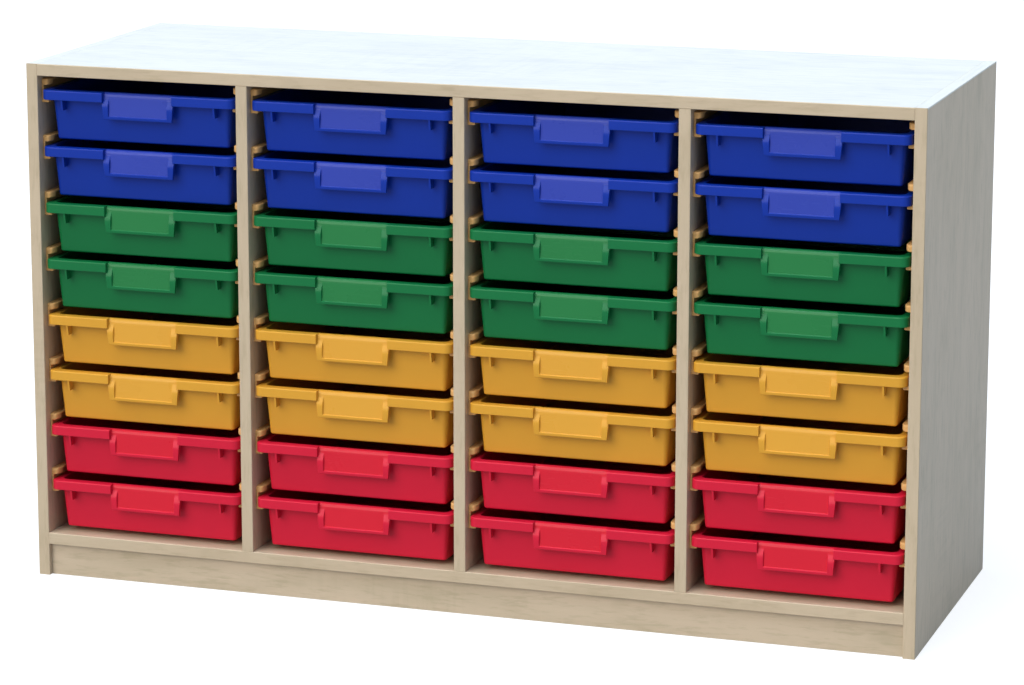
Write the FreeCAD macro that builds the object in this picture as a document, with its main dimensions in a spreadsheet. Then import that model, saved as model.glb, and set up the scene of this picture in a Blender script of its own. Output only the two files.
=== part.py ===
import FreeCAD, Part
import Sketcher
import math
import os

# Classroom tray storage unit: a board carcass of four bays, a pair of channel
# runners for each of eight rows, and thirty-two shallow trays that slide on them.
# Frame: X to the right, Y to the back, Z up; the origin is on the floor under the
# middle of the carcass. Lengths are millimetres, angles are degrees.

BAYS = 4
ROWS = 8
DOWELS_PER_JOINT = 4
PLINTH_DOWELS = 6
SCREWS_PER_RUNNER = 3
BACK_SCREWS_PER_DIVIDER = 5
OVERCUT = 1.0
SLACK = 0.01

SIZES = (
    # Carcass
    ("bay_width", 320.0, "clear width between two uprights"),
    ("unit_depth", 490.0, "front edge to rear edge"),
    ("board", 18.0, "thickness of every carcass board"),
    ("edging", 2.0, "thickness of the edging strips"),
    ("plinth_height", 49.0, "floor to the underside of the bottom panel"),
    ("plinth_setback", 8.0, "front plinth behind the front edges"),
    ("back_thickness", 8.0, "thickness of the back panel"),
    ("back_inset", 10.0, "rear edges to the rear face of the back panel"),
    ("groove_depth", 8.0, "depth of the grooves that hold the back panel"),
    ("groove_play", 0.1, "clearance of the back panel in its grooves"),
    # Dowels and screws
    ("dowel_diameter", 8.0, "diameter of a wooden dowel"),
    ("dowel_face_depth", 12.0, "dowel length in the face of a board"),
    ("dowel_end_depth", 18.0, "dowel length in the end of a board"),
    ("dowel_play", 0.1, "radial and end clearance of a dowel"),
    ("dowel_inset", 45.0, "first and last dowel from the ends of a joint"),
    ("screw_diameter", 5.0, "shank of a runner screw"),
    ("screw_length", 9.0, "runner screw under its head"),
    ("screw_head_diameter", 8.0, "head of a runner screw"),
    ("screw_head_height", 1.6, "head height and its counterbore depth"),
    ("screw_play", 0.1, "radial and end clearance of a screw"),
    ("screw_inset", 40.0, "end screws from the ends of a runner"),
    ("back_screw_diameter", 3.5, "shank of a back screw"),
    ("back_screw_length", 25.0, "back screw under its head"),
    ("back_screw_head_diameter", 7.5, "head of a back screw"),
    ("back_screw_head_height", 1.8, "head height of a back screw"),
    ("back_screw_inset", 60.0, "end screws from the ends of a divider"),
    # Runner: a channel with a shelf below and a hood above
    ("runner_setback", 15.0, "runner front behind the front edges"),
    ("runner_rear_gap", 27.0, "runner rear to the back panel"),
    ("runner_web", 3.0, "web against the upright"),
    ("runner_flange", 3.2, "thickness of the shelf and of the hood"),
    ("runner_top_gap", 6.0, "top runner to the top panel"),
    ("head_room", 12.3, "tray rim to the underside of the hood"),
    ("hood_extra", 1.5, "reach of the hood past the shelf"),
    ("nose_height", 8.0, "height of the block at the hood's front"),
    ("nose_length", 9.0, "length of the block at the hood's front"),
    ("nose_radius", 1.5, "rounded inner corner of the block"),
    ("shelf_radius", 1.2, "rounded free edges of the flanges"),
    # Tray
    ("tray_height", 76.0, "rim to the underside of the tray"),
    ("tray_gap", 10.0, "underside of a tray to the rim below it"),
    ("tray_floor_gap", 7.3, "lowest tray to the bottom panel"),
    ("tray_setback", 2.0, "lip of the rim behind the front edges"),
    ("tray_rear_gap", 43.0, "rear of the rim to the back panel"),
    ("tray_play", 1.0, "rim to the runner web on each side"),
    ("rest_gap", 0.3, "lip of the rim above the shelf it rests on"),
    ("shelf_play", 2.5, "tray body to the shelf edge"),
    ("tray_wall", 2.2, "wall, lip and label plate"),
    ("tray_floor", 2.5, "floor of the tray"),
    ("rim_thickness", 2.5, "flat rim"),
    ("lip_height", 14.6, "turned-down lip of the rim"),
    ("lip_radius", 12.0, "outer corners of the rim in plan"),
    ("rim_round", 1.4, "rounded upper edges of the rim"),
    ("side_step", 9.5, "lip to the body on the sides and the rear"),
    ("front_step", 14.0, "lip to the body at the front"),
    ("body_radius", 12.0, "corners of the body in plan at the rim"),
    ("body_taper", 5.0, "draft of the body walls, degrees"),
    ("foot_round", 3.0, "rounded lower edge of the body"),
    # Handle and label plate at the front of a tray
    ("handle_width", 112.0, "opening in the lip for the label plate"),
    ("handle_top_width", 116.0, "outside of the cheeks under the lip"),
    ("handle_foot_width", 110.5, "outside of the cheeks at the foot"),
    ("handle_drop", 40.0, "rim to the foot of the handle"),
    ("label_width", 94.0, "label plate between the cheeks"),
    ("label_setback", 7.0, "top of the label plate behind the lip"),
    ("label_foot", 4.0, "foot of the label plate behind the lip"),
    ("label_roll", 6.0, "roll from the rim into the label plate"),
    ("label_border", 4.0, "border under the label plate"),
    ("cheek_bulge", 0.8, "shoulder of the cheeks in front of the lip"),
    ("cheek_drop", 3.5, "shoulder of the cheeks under the lip"),
    ("cheek_rise", 3.0, "root of the cheeks above the foot of the lip"),
    ("cheek_round", 4.0, "rounded shoulder of the cheeks"),
    ("cheek_foot", 1.5, "foot of the cheeks behind the lip"),
    # Gussets under the front of the rim
    ("gusset_spacing", 249.0, "distance between the two gussets"),
    ("gusset_thickness", 2.0, "thickness of a gusset"),
    ("gusset_drop", 28.5, "rim to the foot of a gusset"),
    ("gusset_foot", 5.0, "foot of a gusset in front of the body"),
)

# Places and lengths that follow from the sizes
FRONT = "(-Sizes.unit_depth / 2)"
BACK_FACE = "(Sizes.unit_depth / 2 - Sizes.back_inset - Sizes.back_thickness)"
INSIDE_DEPTH = "(Sizes.unit_depth - Sizes.back_inset - Sizes.back_thickness)"
BOARD_DEPTH = "(Sizes.unit_depth - Sizes.edging)"
DIVIDER_DEPTH = f"({INSIDE_DEPTH} - Sizes.edging)"
BAY_PITCH = "(Sizes.bay_width + Sizes.board)"
INNER_WIDTH = f"({BAYS} * Sizes.bay_width + {BAYS - 1} * Sizes.board)"
LEFT_WALL = f"(-{INNER_WIDTH} / 2)"
RIGHT_WALL = f"({INNER_WIDTH} / 2)"
ROW_PITCH = "(Sizes.tray_height + Sizes.tray_gap)"
RIM_RISE = "(Sizes.runner_flange + Sizes.rest_gap + Sizes.lip_height)"
RUNNER_HEIGHT = f"({RIM_RISE} + Sizes.head_room + Sizes.runner_flange)"
SPACE_OVER = "(Sizes.head_room + Sizes.runner_flange + Sizes.runner_top_gap)"
FLOOR_TOP = "(Sizes.plinth_height + Sizes.board)"
LOWEST_RIM = f"({FLOOR_TOP} + Sizes.tray_floor_gap + Sizes.tray_height)"
INNER_HEIGHT = (f"(Sizes.tray_floor_gap + Sizes.tray_height + {ROWS - 1} * {ROW_PITCH}"
                f" + {SPACE_OVER})")
UNIT_HEIGHT = f"({FLOOR_TOP} + {INNER_HEIGHT} + Sizes.board)"
RUNNER_LENGTH = f"({INSIDE_DEPTH} - Sizes.runner_setback - Sizes.runner_rear_gap)"
SHELF = ("(Sizes.runner_web + Sizes.tray_play + Sizes.side_step"
         " - Sizes.shelf_play)")
HOOD = f"({SHELF} + Sizes.hood_extra)"
CHANNEL_RADIUS = "(Sizes.tray_play + Sizes.rest_gap)"
TRAY_WIDTH = "(Sizes.bay_width - 2 * Sizes.runner_web - 2 * Sizes.tray_play)"
TRAY_LENGTH = f"({INSIDE_DEPTH} - Sizes.tray_setback - Sizes.tray_rear_gap)"
TONGUE = "(Sizes.groove_depth - Sizes.groove_play)"


def row_rim(row):
    """Height of the rim of a tray; row 1 is the top row."""
    return f"({LOWEST_RIM} + {ROWS - row} * {ROW_PITCH})"


def row_runner(row):
    """Height of the underside of the runners that carry a row."""
    return f"({row_rim(row)} - {RIM_RISE})"


def bay_left(bay):
    """X of the left wall of a bay; bay 1 is the left one."""
    return f"({LEFT_WALL} + {bay - 1} * {BAY_PITCH})"


def spread(count, inset, length):
    """Evenly spaced places along a length, the end ones at the inset."""
    step = f"(({length} - 2 * {inset}) / {count - 1})"
    return [f"({inset} + {i} * {step})" for i in range(count)]


JOINT_DOWELS = spread(DOWELS_PER_JOINT, "Sizes.dowel_inset", DIVIDER_DEPTH)
PLINTH_DOWEL_PLACES = spread(PLINTH_DOWELS, "Sizes.dowel_inset", INNER_WIDTH)
RUNNER_SCREWS = spread(SCREWS_PER_RUNNER, "Sizes.screw_inset", RUNNER_LENGTH)
BACK_SCREWS = spread(BACK_SCREWS_PER_DIVIDER, "Sizes.back_screw_inset", INNER_HEIGHT)

doc = FreeCAD.newDocument("tray_storage_unit")
sheet = doc.addObject("Spreadsheet::Sheet", "Sizes")
for number, (alias, size, meaning) in enumerate(SIZES, start=1):
    sheet.set(f"A{number}", meaning)
    sheet.set(f"B{number}", str(size))
    sheet.setAlias(f"B{number}", alias)
doc.recompute()


def value(expression):
    """The number that an expression has now."""
    result = sheet.evalExpression(expression)
    return float(getattr(result, "Value", result))


def bind(obj, path, expression):
    """Tie a property to the sheet, without keeping a needless binding to a zero."""
    if str(expression) not in ("0", "0.0"):
        obj.setExpression(path, str(expression))


def place(obj, x="0", y="0", z="0"):
    """Bind the place of an object."""
    bind(obj, "Placement.Base.x", x)
    bind(obj, "Placement.Base.y", y)
    bind(obj, "Placement.Base.z", z)
    return obj


def make_body(name, x="0", y="0", z="0"):
    """An empty body at its place."""
    body = doc.addObject("PartDesign::Body", name)
    body.Label = name
    return place(body, x, y, z)


def make_sketch(body, plane, offset="0"):
    """A sketch on one of the body's own planes, moved along the plane's normal."""
    sketch = body.newObject("Sketcher::SketchObject", body.Name + "_sketch")
    origin_plane = [f for f in body.Origin.OriginFeatures if f.Role == plane][0]
    sketch.AttachmentSupport = [(origin_plane, "")]
    sketch.MapMode = "FlatFace"
    bind(sketch, "AttachmentOffset.Base.z", offset)
    return sketch


def constrain(sketch, fixed, sized):
    """Add plain constraints, and those whose values are tied to the sheet."""
    sketch.addConstraint(fixed + [Sketcher.Constraint(*parts, value(expression))
                                  for expression, parts in sized])
    start = sketch.ConstraintCount - len(sized)
    for index, (expression, parts) in enumerate(sized, start=start):
        name = f"size_{index}"
        sketch.renameConstraint(index, name)
        sketch.setExpression("Constraints." + name, expression)


def located(geometry, vertex, x, y):
    """Constraints that tie a point to its distances from the sketch's origin."""
    return [(x, ("DistanceX", -1, 1, geometry, vertex)),
            (y, ("DistanceY", -1, 1, geometry, vertex))]


def corner_arc(before_point, point, after_point, radius):
    """Start, end and centre of the arc that rounds a corner."""
    before = (before_point - point).normalize()
    after = (after_point - point).normalize()
    half = before.getAngle(after) / 2
    if not radius:
        return point, point, point
    reach = radius / math.tan(half)
    centre = point + (before + after).normalize() * (radius / math.sin(half))
    return point + before * reach, point + after * reach, centre


def draw_outline(sketch, corners):
    """A closed outline through corners (x, y) or (x, y, radius) of expressions."""
    count = len(corners)
    points = [FreeCAD.Vector(value(c[0]), value(c[1]), 0) for c in corners]
    radii = [value(c[2]) if len(c) > 2 else 0.0 for c in corners]
    arcs = [corner_arc(points[i - 1], points[i], points[(i + 1) % count], radii[i])
            for i in range(count)]
    sides = [Part.LineSegment(arcs[i][1], arcs[(i + 1) % count][0]) for i in range(count)]
    lines = sketch.addGeometry(sides)
    fixed, sized = [], []
    for i, corner in enumerate(corners):
        incoming, outgoing = lines[i - 1], lines[i]
        if not radii[i]:
            fixed.append(Sketcher.Constraint("Coincident", incoming, 2, outgoing, 1))
            sized += located(outgoing, 1, corner[0], corner[1])
            continue
        start, end, centre = arcs[i]
        first = math.atan2(start.y - centre.y, start.x - centre.x)
        last = math.atan2(end.y - centre.y, end.x - centre.x)
        left_turn = (last - first) % (2 * math.pi) < math.pi
        begin, finish = (first, last) if left_turn else (last, first)
        near, far = (1, 2) if left_turn else (2, 1)
        circle = Part.Circle(centre, FreeCAD.Vector(0, 0, 1), radii[i])
        arc = sketch.addGeometry(Part.ArcOfCircle(circle, begin, finish))
        mark = sketch.addGeometry(Part.Point(points[i]), True)
        fixed += [Sketcher.Constraint("Tangent", incoming, 2, arc, near),
                  Sketcher.Constraint("Tangent", outgoing, 1, arc, far),
                  Sketcher.Constraint("PointOnObject", mark, 1, incoming),
                  Sketcher.Constraint("PointOnObject", mark, 1, outgoing)]
        sized += located(mark, 1, corner[0], corner[1])
        sized.append((corner[2], ("Radius", arc)))
    constrain(sketch, fixed, sized)


def draw_rectangle(sketch, x0, x1, y0, y1, radius=None):
    """A rectangle from its sides, with rounded corners where a radius is given."""
    extra = (radius,) if radius else ()
    draw_outline(sketch, [(x0, y0) + extra, (x1, y0) + extra,
                          (x1, y1) + extra, (x0, y1) + extra])


def draw_circles(sketch, centres, diameter):
    """Circles of one diameter at centres (x, y) of expressions."""
    axis = FreeCAD.Vector(0, 0, 1)
    radius = value(diameter) / 2
    rings = sketch.addGeometry([Part.Circle(FreeCAD.Vector(value(x), value(y), 0), axis, radius)
                                for x, y in centres])
    equal = [Sketcher.Constraint("Equal", rings[0], ring) for ring in rings[1:]]
    sized = [(diameter, ("Diameter", rings[0]))]
    for ring, (x, y) in zip(rings, centres):
        sized += located(ring, 3, x, y)
    constrain(sketch, equal, sized)


def feature(body, kind, sketch, length, reverse=False, both=False, taper=None):
    """A pad or pocket of a sketch."""
    item = body.newObject("PartDesign::" + kind, body.Name + "_" + kind.lower())
    item.Profile = sketch
    item.Reversed = reverse
    item.SideType = "Symmetric" if both else "One side"
    bind(item, "Length", length)
    if taper:
        bind(item, "TaperAngle", taper)
    sketch.Visibility = False
    return item


def pad(body, sketch, length, **options):
    """Add the sketch's area times the length."""
    return feature(body, "Pad", sketch, length, **options)


def pocket(body, sketch, length, **options):
    """Take the sketch's area times the length away."""
    return feature(body, "Pocket", sketch, length, **options)


def drill(body, plane, centres, diameter, depth, offset="0", reverse=False):
    """Round blind holes from a plane; reverse drills along the plane's normal."""
    sketch = make_sketch(body, plane, offset)
    draw_circles(sketch, centres, diameter)
    return pocket(body, sketch, depth, reverse=reverse)


def round_edges(body, base, radius, wanted):
    """Fillet the edges of a feature that a test picks out."""
    doc.recompute()
    names = [f"Edge{i}" for i, edge in enumerate(base.Shape.Edges, start=1) if wanted(edge)]
    item = body.newObject("PartDesign::Fillet", body.Name + "_fillet")
    item.Base = (base, names)
    bind(item, "Radius", radius)
    return item


def copy_of(name, source, x="0", y="0", z="0"):
    """A copy of an object at a place of its own."""
    item = doc.addObject("Part::Compound", name)
    item.Label = name
    item.Links = [source]
    return place(item, x, y, z)


def group_of(name, members, x="0", y="0", z="0"):
    """Separate solids kept together as one sub-part."""
    item = doc.addObject("Part::Compound", name)
    item.Label = name
    item.Links = members
    return place(item, x, y, z)


def make_board(name, width, depth, height, x, y, z):
    """A plain board, cut to size."""
    body = make_body(name, x, y, z)
    sketch = make_sketch(body, "XY_Plane")
    draw_rectangle(sketch, "0", width, "0", depth)
    pad(body, sketch, height)
    return body


DOWEL_HOLE = "(Sizes.dowel_diameter + 2 * Sizes.dowel_play)"
DOWEL_FACE_HOLE = "(Sizes.dowel_face_depth + Sizes.dowel_play)"
DOWEL_END_HOLE = "(Sizes.dowel_end_depth + Sizes.dowel_play)"
PILOT_HOLE = "(Sizes.screw_diameter + 2 * Sizes.screw_play)"
SCREW_GRIP = "(Sizes.runner_web - Sizes.screw_head_height)"
PILOT_DEPTH = f"(Sizes.screw_length - {SCREW_GRIP} + Sizes.screw_play)"
BACK_PILOT_HOLE = "(Sizes.back_screw_diameter + 2 * Sizes.screw_play)"
BACK_PILOT_DEPTH = "(Sizes.back_screw_length - Sizes.back_thickness + Sizes.screw_play)"
GROOVE_FRONT = f"({DIVIDER_DEPTH} - Sizes.groove_play)"
GROOVE_REAR = f"({DIVIDER_DEPTH} + Sizes.back_thickness + Sizes.groove_play)"
PLINTH_FRONT_MIDDLE = "(Sizes.plinth_setback - Sizes.edging + Sizes.board / 2)"
PLINTH_REAR_MIDDLE = f"({DIVIDER_DEPTH} - Sizes.board / 2)"
PLINTH_MIDDLES = (PLINTH_FRONT_MIDDLE, PLINTH_REAR_MIDDLE)


def runner_screw_centres(floor):
    """Screw places on an upright whose foot is at the height floor."""
    rows = range(1, ROWS + 1)
    return [(f"(Sizes.runner_setback - Sizes.edging + {along})",
             f"({row_runner(row)} + {RUNNER_HEIGHT} / 2 - {floor})")
            for row in rows for along in RUNNER_SCREWS]


def make_side(name, x, inner, reverse):
    """An end panel; inner is its inside face and reverse the way that holes go in."""
    body = make_board(name, "Sizes.board", BOARD_DEPTH, f"({UNIT_HEIGHT} - Sizes.edging)",
                      x, f"({FRONT} + Sizes.edging)", "0")
    heights = (f"({UNIT_HEIGHT} - Sizes.board / 2)", "(Sizes.plinth_height + Sizes.board / 2)")
    dowels = [(y, z) for y in JOINT_DOWELS for z in heights]
    dowels += [(y, "(Sizes.plinth_height / 2)") for y in PLINTH_MIDDLES]
    drill(body, "YZ_Plane", dowels, DOWEL_HOLE, DOWEL_FACE_HOLE, inner, reverse)
    drill(body, "YZ_Plane", runner_screw_centres("0"), PILOT_HOLE, PILOT_DEPTH, inner, reverse)
    groove = make_sketch(body, "YZ_Plane", inner)
    draw_rectangle(groove, GROOVE_FRONT, GROOVE_REAR, f"-{OVERCUT}", UNIT_HEIGHT)
    pocket(body, groove, "Sizes.groove_depth", reverse=reverse)
    return body


def make_shelf_board(name, z, divider_face, groove_reverse):
    """The top or bottom panel, with the dowel holes and the groove that face the bays."""
    body = make_board(name, INNER_WIDTH, BOARD_DEPTH, "Sizes.board",
                      LEFT_WALL, f"({FRONT} + Sizes.edging)", z)
    ends = [(y, "(Sizes.board / 2)") for y in JOINT_DOWELS]
    drill(body, "YZ_Plane", ends, DOWEL_HOLE, DOWEL_END_HOLE, "0", True)
    drill(body, "YZ_Plane", ends, DOWEL_HOLE, DOWEL_END_HOLE, INNER_WIDTH)
    under = [(f"({bay} * {BAY_PITCH} - Sizes.board / 2)", y)
             for bay in range(1, BAYS) for y in JOINT_DOWELS]
    drill(body, "XY_Plane", under, DOWEL_HOLE, DOWEL_FACE_HOLE, divider_face, groove_reverse)
    groove = make_sketch(body, "XY_Plane", divider_face)
    draw_rectangle(groove, f"-{OVERCUT}", f"({INNER_WIDTH} + {OVERCUT})",
                   GROOVE_FRONT, GROOVE_REAR)
    pocket(body, groove, "Sizes.groove_depth", reverse=groove_reverse)
    return body


def make_divider(name, bay):
    """The upright between a bay and the next one, drilled for runners on both faces."""
    body = make_board(name, "Sizes.board", DIVIDER_DEPTH, INNER_HEIGHT,
                      f"({bay_left(bay)} + Sizes.bay_width)",
                      f"({FRONT} + Sizes.edging)", FLOOR_TOP)
    ends = [("(Sizes.board / 2)", y) for y in JOINT_DOWELS]
    drill(body, "XY_Plane", ends, DOWEL_HOLE, DOWEL_END_HOLE, "0", True)
    drill(body, "XY_Plane", ends, DOWEL_HOLE, DOWEL_END_HOLE, INNER_HEIGHT)
    pilots = runner_screw_centres(FLOOR_TOP)
    drill(body, "YZ_Plane", pilots, PILOT_HOLE, PILOT_DEPTH, "0", True)
    drill(body, "YZ_Plane", pilots, PILOT_HOLE, PILOT_DEPTH, "Sizes.board")
    rear = [("(Sizes.board / 2)", z) for z in BACK_SCREWS]
    drill(body, "XZ_Plane", rear, BACK_PILOT_HOLE, BACK_PILOT_DEPTH, f"(-{DIVIDER_DEPTH})", True)
    return body


def make_back_panel():
    """The thin panel that stands in the grooves and is screwed to the dividers."""
    body = make_board("back_panel", f"({INNER_WIDTH} + 2 * {TONGUE})", "Sizes.back_thickness",
                      f"({INNER_HEIGHT} + 2 * {TONGUE})",
                      f"({LEFT_WALL} - {TONGUE})", BACK_FACE, f"({FLOOR_TOP} - {TONGUE})")
    holes = [(f"({TONGUE} + {bay} * {BAY_PITCH} - Sizes.board / 2)", f"({TONGUE} + {z})")
             for bay in range(1, BAYS) for z in BACK_SCREWS]
    drill(body, "XZ_Plane", holes, BACK_PILOT_HOLE, "Sizes.back_thickness", "0", False)
    return body


def make_plinth(name, middle):
    """A plinth board on edge, dowelled to the bottom panel and to the end panels."""
    body = make_board(name, INNER_WIDTH, "Sizes.board", "Sizes.plinth_height", LEFT_WALL,
                      f"({FRONT} + Sizes.edging + {middle} - Sizes.board / 2)", "0")
    tops = [(x, "(Sizes.board / 2)") for x in PLINTH_DOWEL_PLACES]
    drill(body, "XY_Plane", tops, DOWEL_HOLE, DOWEL_END_HOLE, "Sizes.plinth_height")
    end = [("(Sizes.board / 2)", "(Sizes.plinth_height / 2)")]
    drill(body, "YZ_Plane", end, DOWEL_HOLE, DOWEL_END_HOLE, "0", True)
    drill(body, "YZ_Plane", end, DOWEL_HOLE, DOWEL_END_HOLE, INNER_WIDTH)
    return body


def make_carcass():
    """All the boards."""
    left = make_side("left_side_panel", f"({LEFT_WALL} - Sizes.board)", "Sizes.board", False)
    right = make_side("right_side_panel", RIGHT_WALL, "0", True)
    top = make_shelf_board("top_panel", f"({UNIT_HEIGHT} - Sizes.board)", "0", True)
    bottom = make_shelf_board("bottom_panel", "Sizes.plinth_height", "Sizes.board", False)
    under = [(x, y) for x in PLINTH_DOWEL_PLACES for y in PLINTH_MIDDLES]
    drill(bottom, "XY_Plane", under, DOWEL_HOLE, DOWEL_FACE_HOLE, "0", True)
    dividers = [make_divider(f"divider_{bay}", bay) for bay in range(1, BAYS)]
    back = make_back_panel()
    plinths = [make_plinth("front_plinth", PLINTH_FRONT_MIDDLE),
               make_plinth("rear_plinth", PLINTH_REAR_MIDDLE)]
    return [left, right, top, bottom] + dividers + [back] + plinths


def make_strip(name, width, depth, height, x, y, z):
    """One strip of edging."""
    strip = doc.addObject("Part::Box", name)
    bind(strip, "Length", width)
    bind(strip, "Width", depth)
    bind(strip, "Height", height)
    return place(strip, x, y, z)


def make_edging():
    """Edging on every front edge, and on the top edges of the end panels."""
    outer = (f"({LEFT_WALL} - Sizes.board)", RIGHT_WALL)
    side_fronts = [make_strip("side_front_strip", "Sizes.board", "Sizes.edging", UNIT_HEIGHT,
                              x, FRONT, "0") for x in outer]
    side_tops = [make_strip("side_top_strip", "Sizes.board", BOARD_DEPTH, "Sizes.edging",
                            x, f"({FRONT} + Sizes.edging)", f"({UNIT_HEIGHT} - Sizes.edging)")
                 for x in outer]
    uprights = [make_strip("divider_strip", "Sizes.board", "Sizes.edging", INNER_HEIGHT,
                           f"({bay_left(bay)} + Sizes.bay_width)", FRONT, FLOOR_TOP)
                for bay in range(1, BAYS)]
    levels = [make_strip("panel_strip", INNER_WIDTH, "Sizes.edging", "Sizes.board",
                         LEFT_WALL, FRONT, z)
              for z in ("Sizes.plinth_height", f"({UNIT_HEIGHT} - Sizes.board)")]
    return [group_of("side_panel_edging", side_fronts + side_tops),
            group_of("divider_edging", uprights),
            group_of("panel_front_edging", levels)]


def make_dowel(name, direction, x, y, z):
    """A dowel whose face-side end is at a place, pointing along +X, -X, +Z or -Z."""
    dowel = doc.addObject("Part::Cylinder", name)
    bind(dowel, "Radius", "Sizes.dowel_diameter / 2")
    bind(dowel, "Height", "Sizes.dowel_face_depth + Sizes.dowel_end_depth")
    turn = FreeCAD.Rotation(FreeCAD.Vector(0, 0, 1), FreeCAD.Vector(*direction))
    dowel.Placement = FreeCAD.Placement(FreeCAD.Vector(0, 0, 0), turn)
    return place(dowel, x, y, z)


def make_dowels():
    """Dowels of the end panels, of the dividers and of the plinths."""
    right, left, up, down = (1, 0, 0), (-1, 0, 0), (0, 0, 1), (0, 0, -1)
    from_left = f"({LEFT_WALL} - Sizes.dowel_face_depth)"
    from_right = f"({RIGHT_WALL} + Sizes.dowel_face_depth)"
    levels = ("(Sizes.plinth_height + Sizes.board / 2)", f"({UNIT_HEIGHT} - Sizes.board / 2)")
    board_front = f"({FRONT} + Sizes.edging)"
    side_dowels, divider_dowels, plinth_dowels = [], [], []
    for x, direction in ((from_left, right), (from_right, left)):
        for y in JOINT_DOWELS:
            side_dowels += [make_dowel("side_dowel", direction, x, f"({board_front} + {y})", z)
                            for z in levels]
        for y in PLINTH_MIDDLES:
            plinth_dowels.append(make_dowel("plinth_end_dowel", direction, x,
                                            f"({board_front} + {y})",
                                            "(Sizes.plinth_height / 2)"))
    above = f"({FLOOR_TOP} + {INNER_HEIGHT} + Sizes.dowel_face_depth)"
    below = f"({FLOOR_TOP} - Sizes.dowel_face_depth)"
    for bay in range(1, BAYS):
        x = f"({bay_left(bay)} + Sizes.bay_width + Sizes.board / 2)"
        for y in JOINT_DOWELS:
            divider_dowels.append(make_dowel("divider_dowel", up, x,
                                             f"({board_front} + {y})", below))
            divider_dowels.append(make_dowel("divider_dowel", down, x,
                                             f"({board_front} + {y})", above))
    in_bottom = "(Sizes.plinth_height + Sizes.dowel_face_depth)"
    for x in PLINTH_DOWEL_PLACES:
        plinth_dowels += [make_dowel("plinth_dowel", down, f"({LEFT_WALL} + {x})",
                                     f"({board_front} + {y})", in_bottom)
                          for y in PLINTH_MIDDLES]
    return [group_of("side_panel_dowels", side_dowels),
            group_of("divider_dowels", divider_dowels),
            group_of("plinth_dowels", plinth_dowels)]


def make_screw(name, plane, shank, length, head, head_height, reverse):
    """A flat-headed screw; the underside of its head is at the origin."""
    body = make_body(name)
    for diameter, reach, way in ((shank, length, reverse), (head, head_height, not reverse)):
        sketch = make_sketch(body, plane)
        draw_circles(sketch, [("0", "0")], diameter)
        pad(body, sketch, reach, reverse=way)
    return body


def make_runner():
    """A left-hand runner; X is away from its upright, its front is at Y = 0."""
    body = make_body("runner_master")
    section = make_sketch(body, "XZ_Plane")
    shelf_top = "Sizes.runner_flange"
    hood_under = f"({RUNNER_HEIGHT} - Sizes.runner_flange)"
    draw_outline(section, [("0", "0"),
                           (SHELF, "0", "Sizes.shelf_radius"),
                           (SHELF, shelf_top, "Sizes.shelf_radius"),
                           ("Sizes.runner_web", shelf_top, CHANNEL_RADIUS),
                           ("Sizes.runner_web", hood_under, CHANNEL_RADIUS),
                           (HOOD, hood_under, "Sizes.shelf_radius"),
                           (HOOD, RUNNER_HEIGHT, "Sizes.shelf_radius"),
                           ("0", RUNNER_HEIGHT)])
    pad(body, section, RUNNER_LENGTH, reverse=True)
    nose = make_sketch(body, "XZ_Plane")
    nose_under = f"({RUNNER_HEIGHT} - Sizes.nose_height)"
    draw_outline(nose, [("Sizes.runner_web / 2", nose_under),
                        (HOOD, nose_under, "Sizes.nose_radius"),
                        (HOOD, RUNNER_HEIGHT, "Sizes.shelf_radius"),
                        ("Sizes.runner_web / 2", RUNNER_HEIGHT)])
    pad(body, nose, "Sizes.nose_length", reverse=True)
    centres = [(y, f"({RUNNER_HEIGHT} / 2)") for y in RUNNER_SCREWS]
    drill(body, "YZ_Plane", centres, PILOT_HOLE, "Sizes.runner_web", "Sizes.runner_web")
    counterbore = "(Sizes.screw_head_diameter + 2 * Sizes.screw_play)"
    drill(body, "YZ_Plane", centres, counterbore, "Sizes.screw_head_height",
          "Sizes.runner_web")
    return body


def make_screw_row():
    """The screws of one left-hand runner, in the runner's own frame."""
    screw = make_screw("runner_screw", "YZ_Plane", "Sizes.screw_diameter",
                       "Sizes.screw_length", "Sizes.screw_head_diameter",
                       "Sizes.screw_head_height", True)
    return group_of("screw_row", [copy_of("screw_in_runner", screw, SCREW_GRIP, y,
                                          f"({RUNNER_HEIGHT} / 2)") for y in RUNNER_SCREWS])


def mirror_of(name, source):
    """The right-hand version of a left-hand piece."""
    item = doc.addObject("Part::Mirroring", name)
    item.Source = source
    item.Base = (0, 0, 0)
    item.Normal = (1, 0, 0)
    return item


def make_column(name, source):
    """One copy for each row, at the height of the row."""
    return group_of(name, [copy_of(name + "_copy", source, "0", "0", row_runner(row))
                           for row in range(1, ROWS + 1)])


def make_runners():
    """Columns of runners on both sides of every bay, and all their screws."""
    runner = make_runner()
    screws = make_screw_row()
    doc.recompute()
    left_column = make_column("left_column", runner)
    right_column = make_column("right_column", mirror_of("right_runner", runner))
    left_screws = make_column("left_screws", screws)
    right_screws = make_column("right_screws", mirror_of("right_screw_row", screws))
    front = f"({FRONT} + Sizes.runner_setback)"
    parts, screw_columns = [], []
    for bay in range(1, BAYS + 1):
        left = bay_left(bay)
        right = f"({left} + Sizes.bay_width)"
        parts.append(copy_of(f"runners_bay{bay}_left", left_column, left, front))
        parts.append(copy_of(f"runners_bay{bay}_right", right_column, right, front))
        screw_columns += [copy_of("screw_column", left_screws, left, front),
                          copy_of("screw_column", right_screws, right, front)]
    parts.append(group_of("runner_screws", screw_columns))
    return parts


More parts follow.
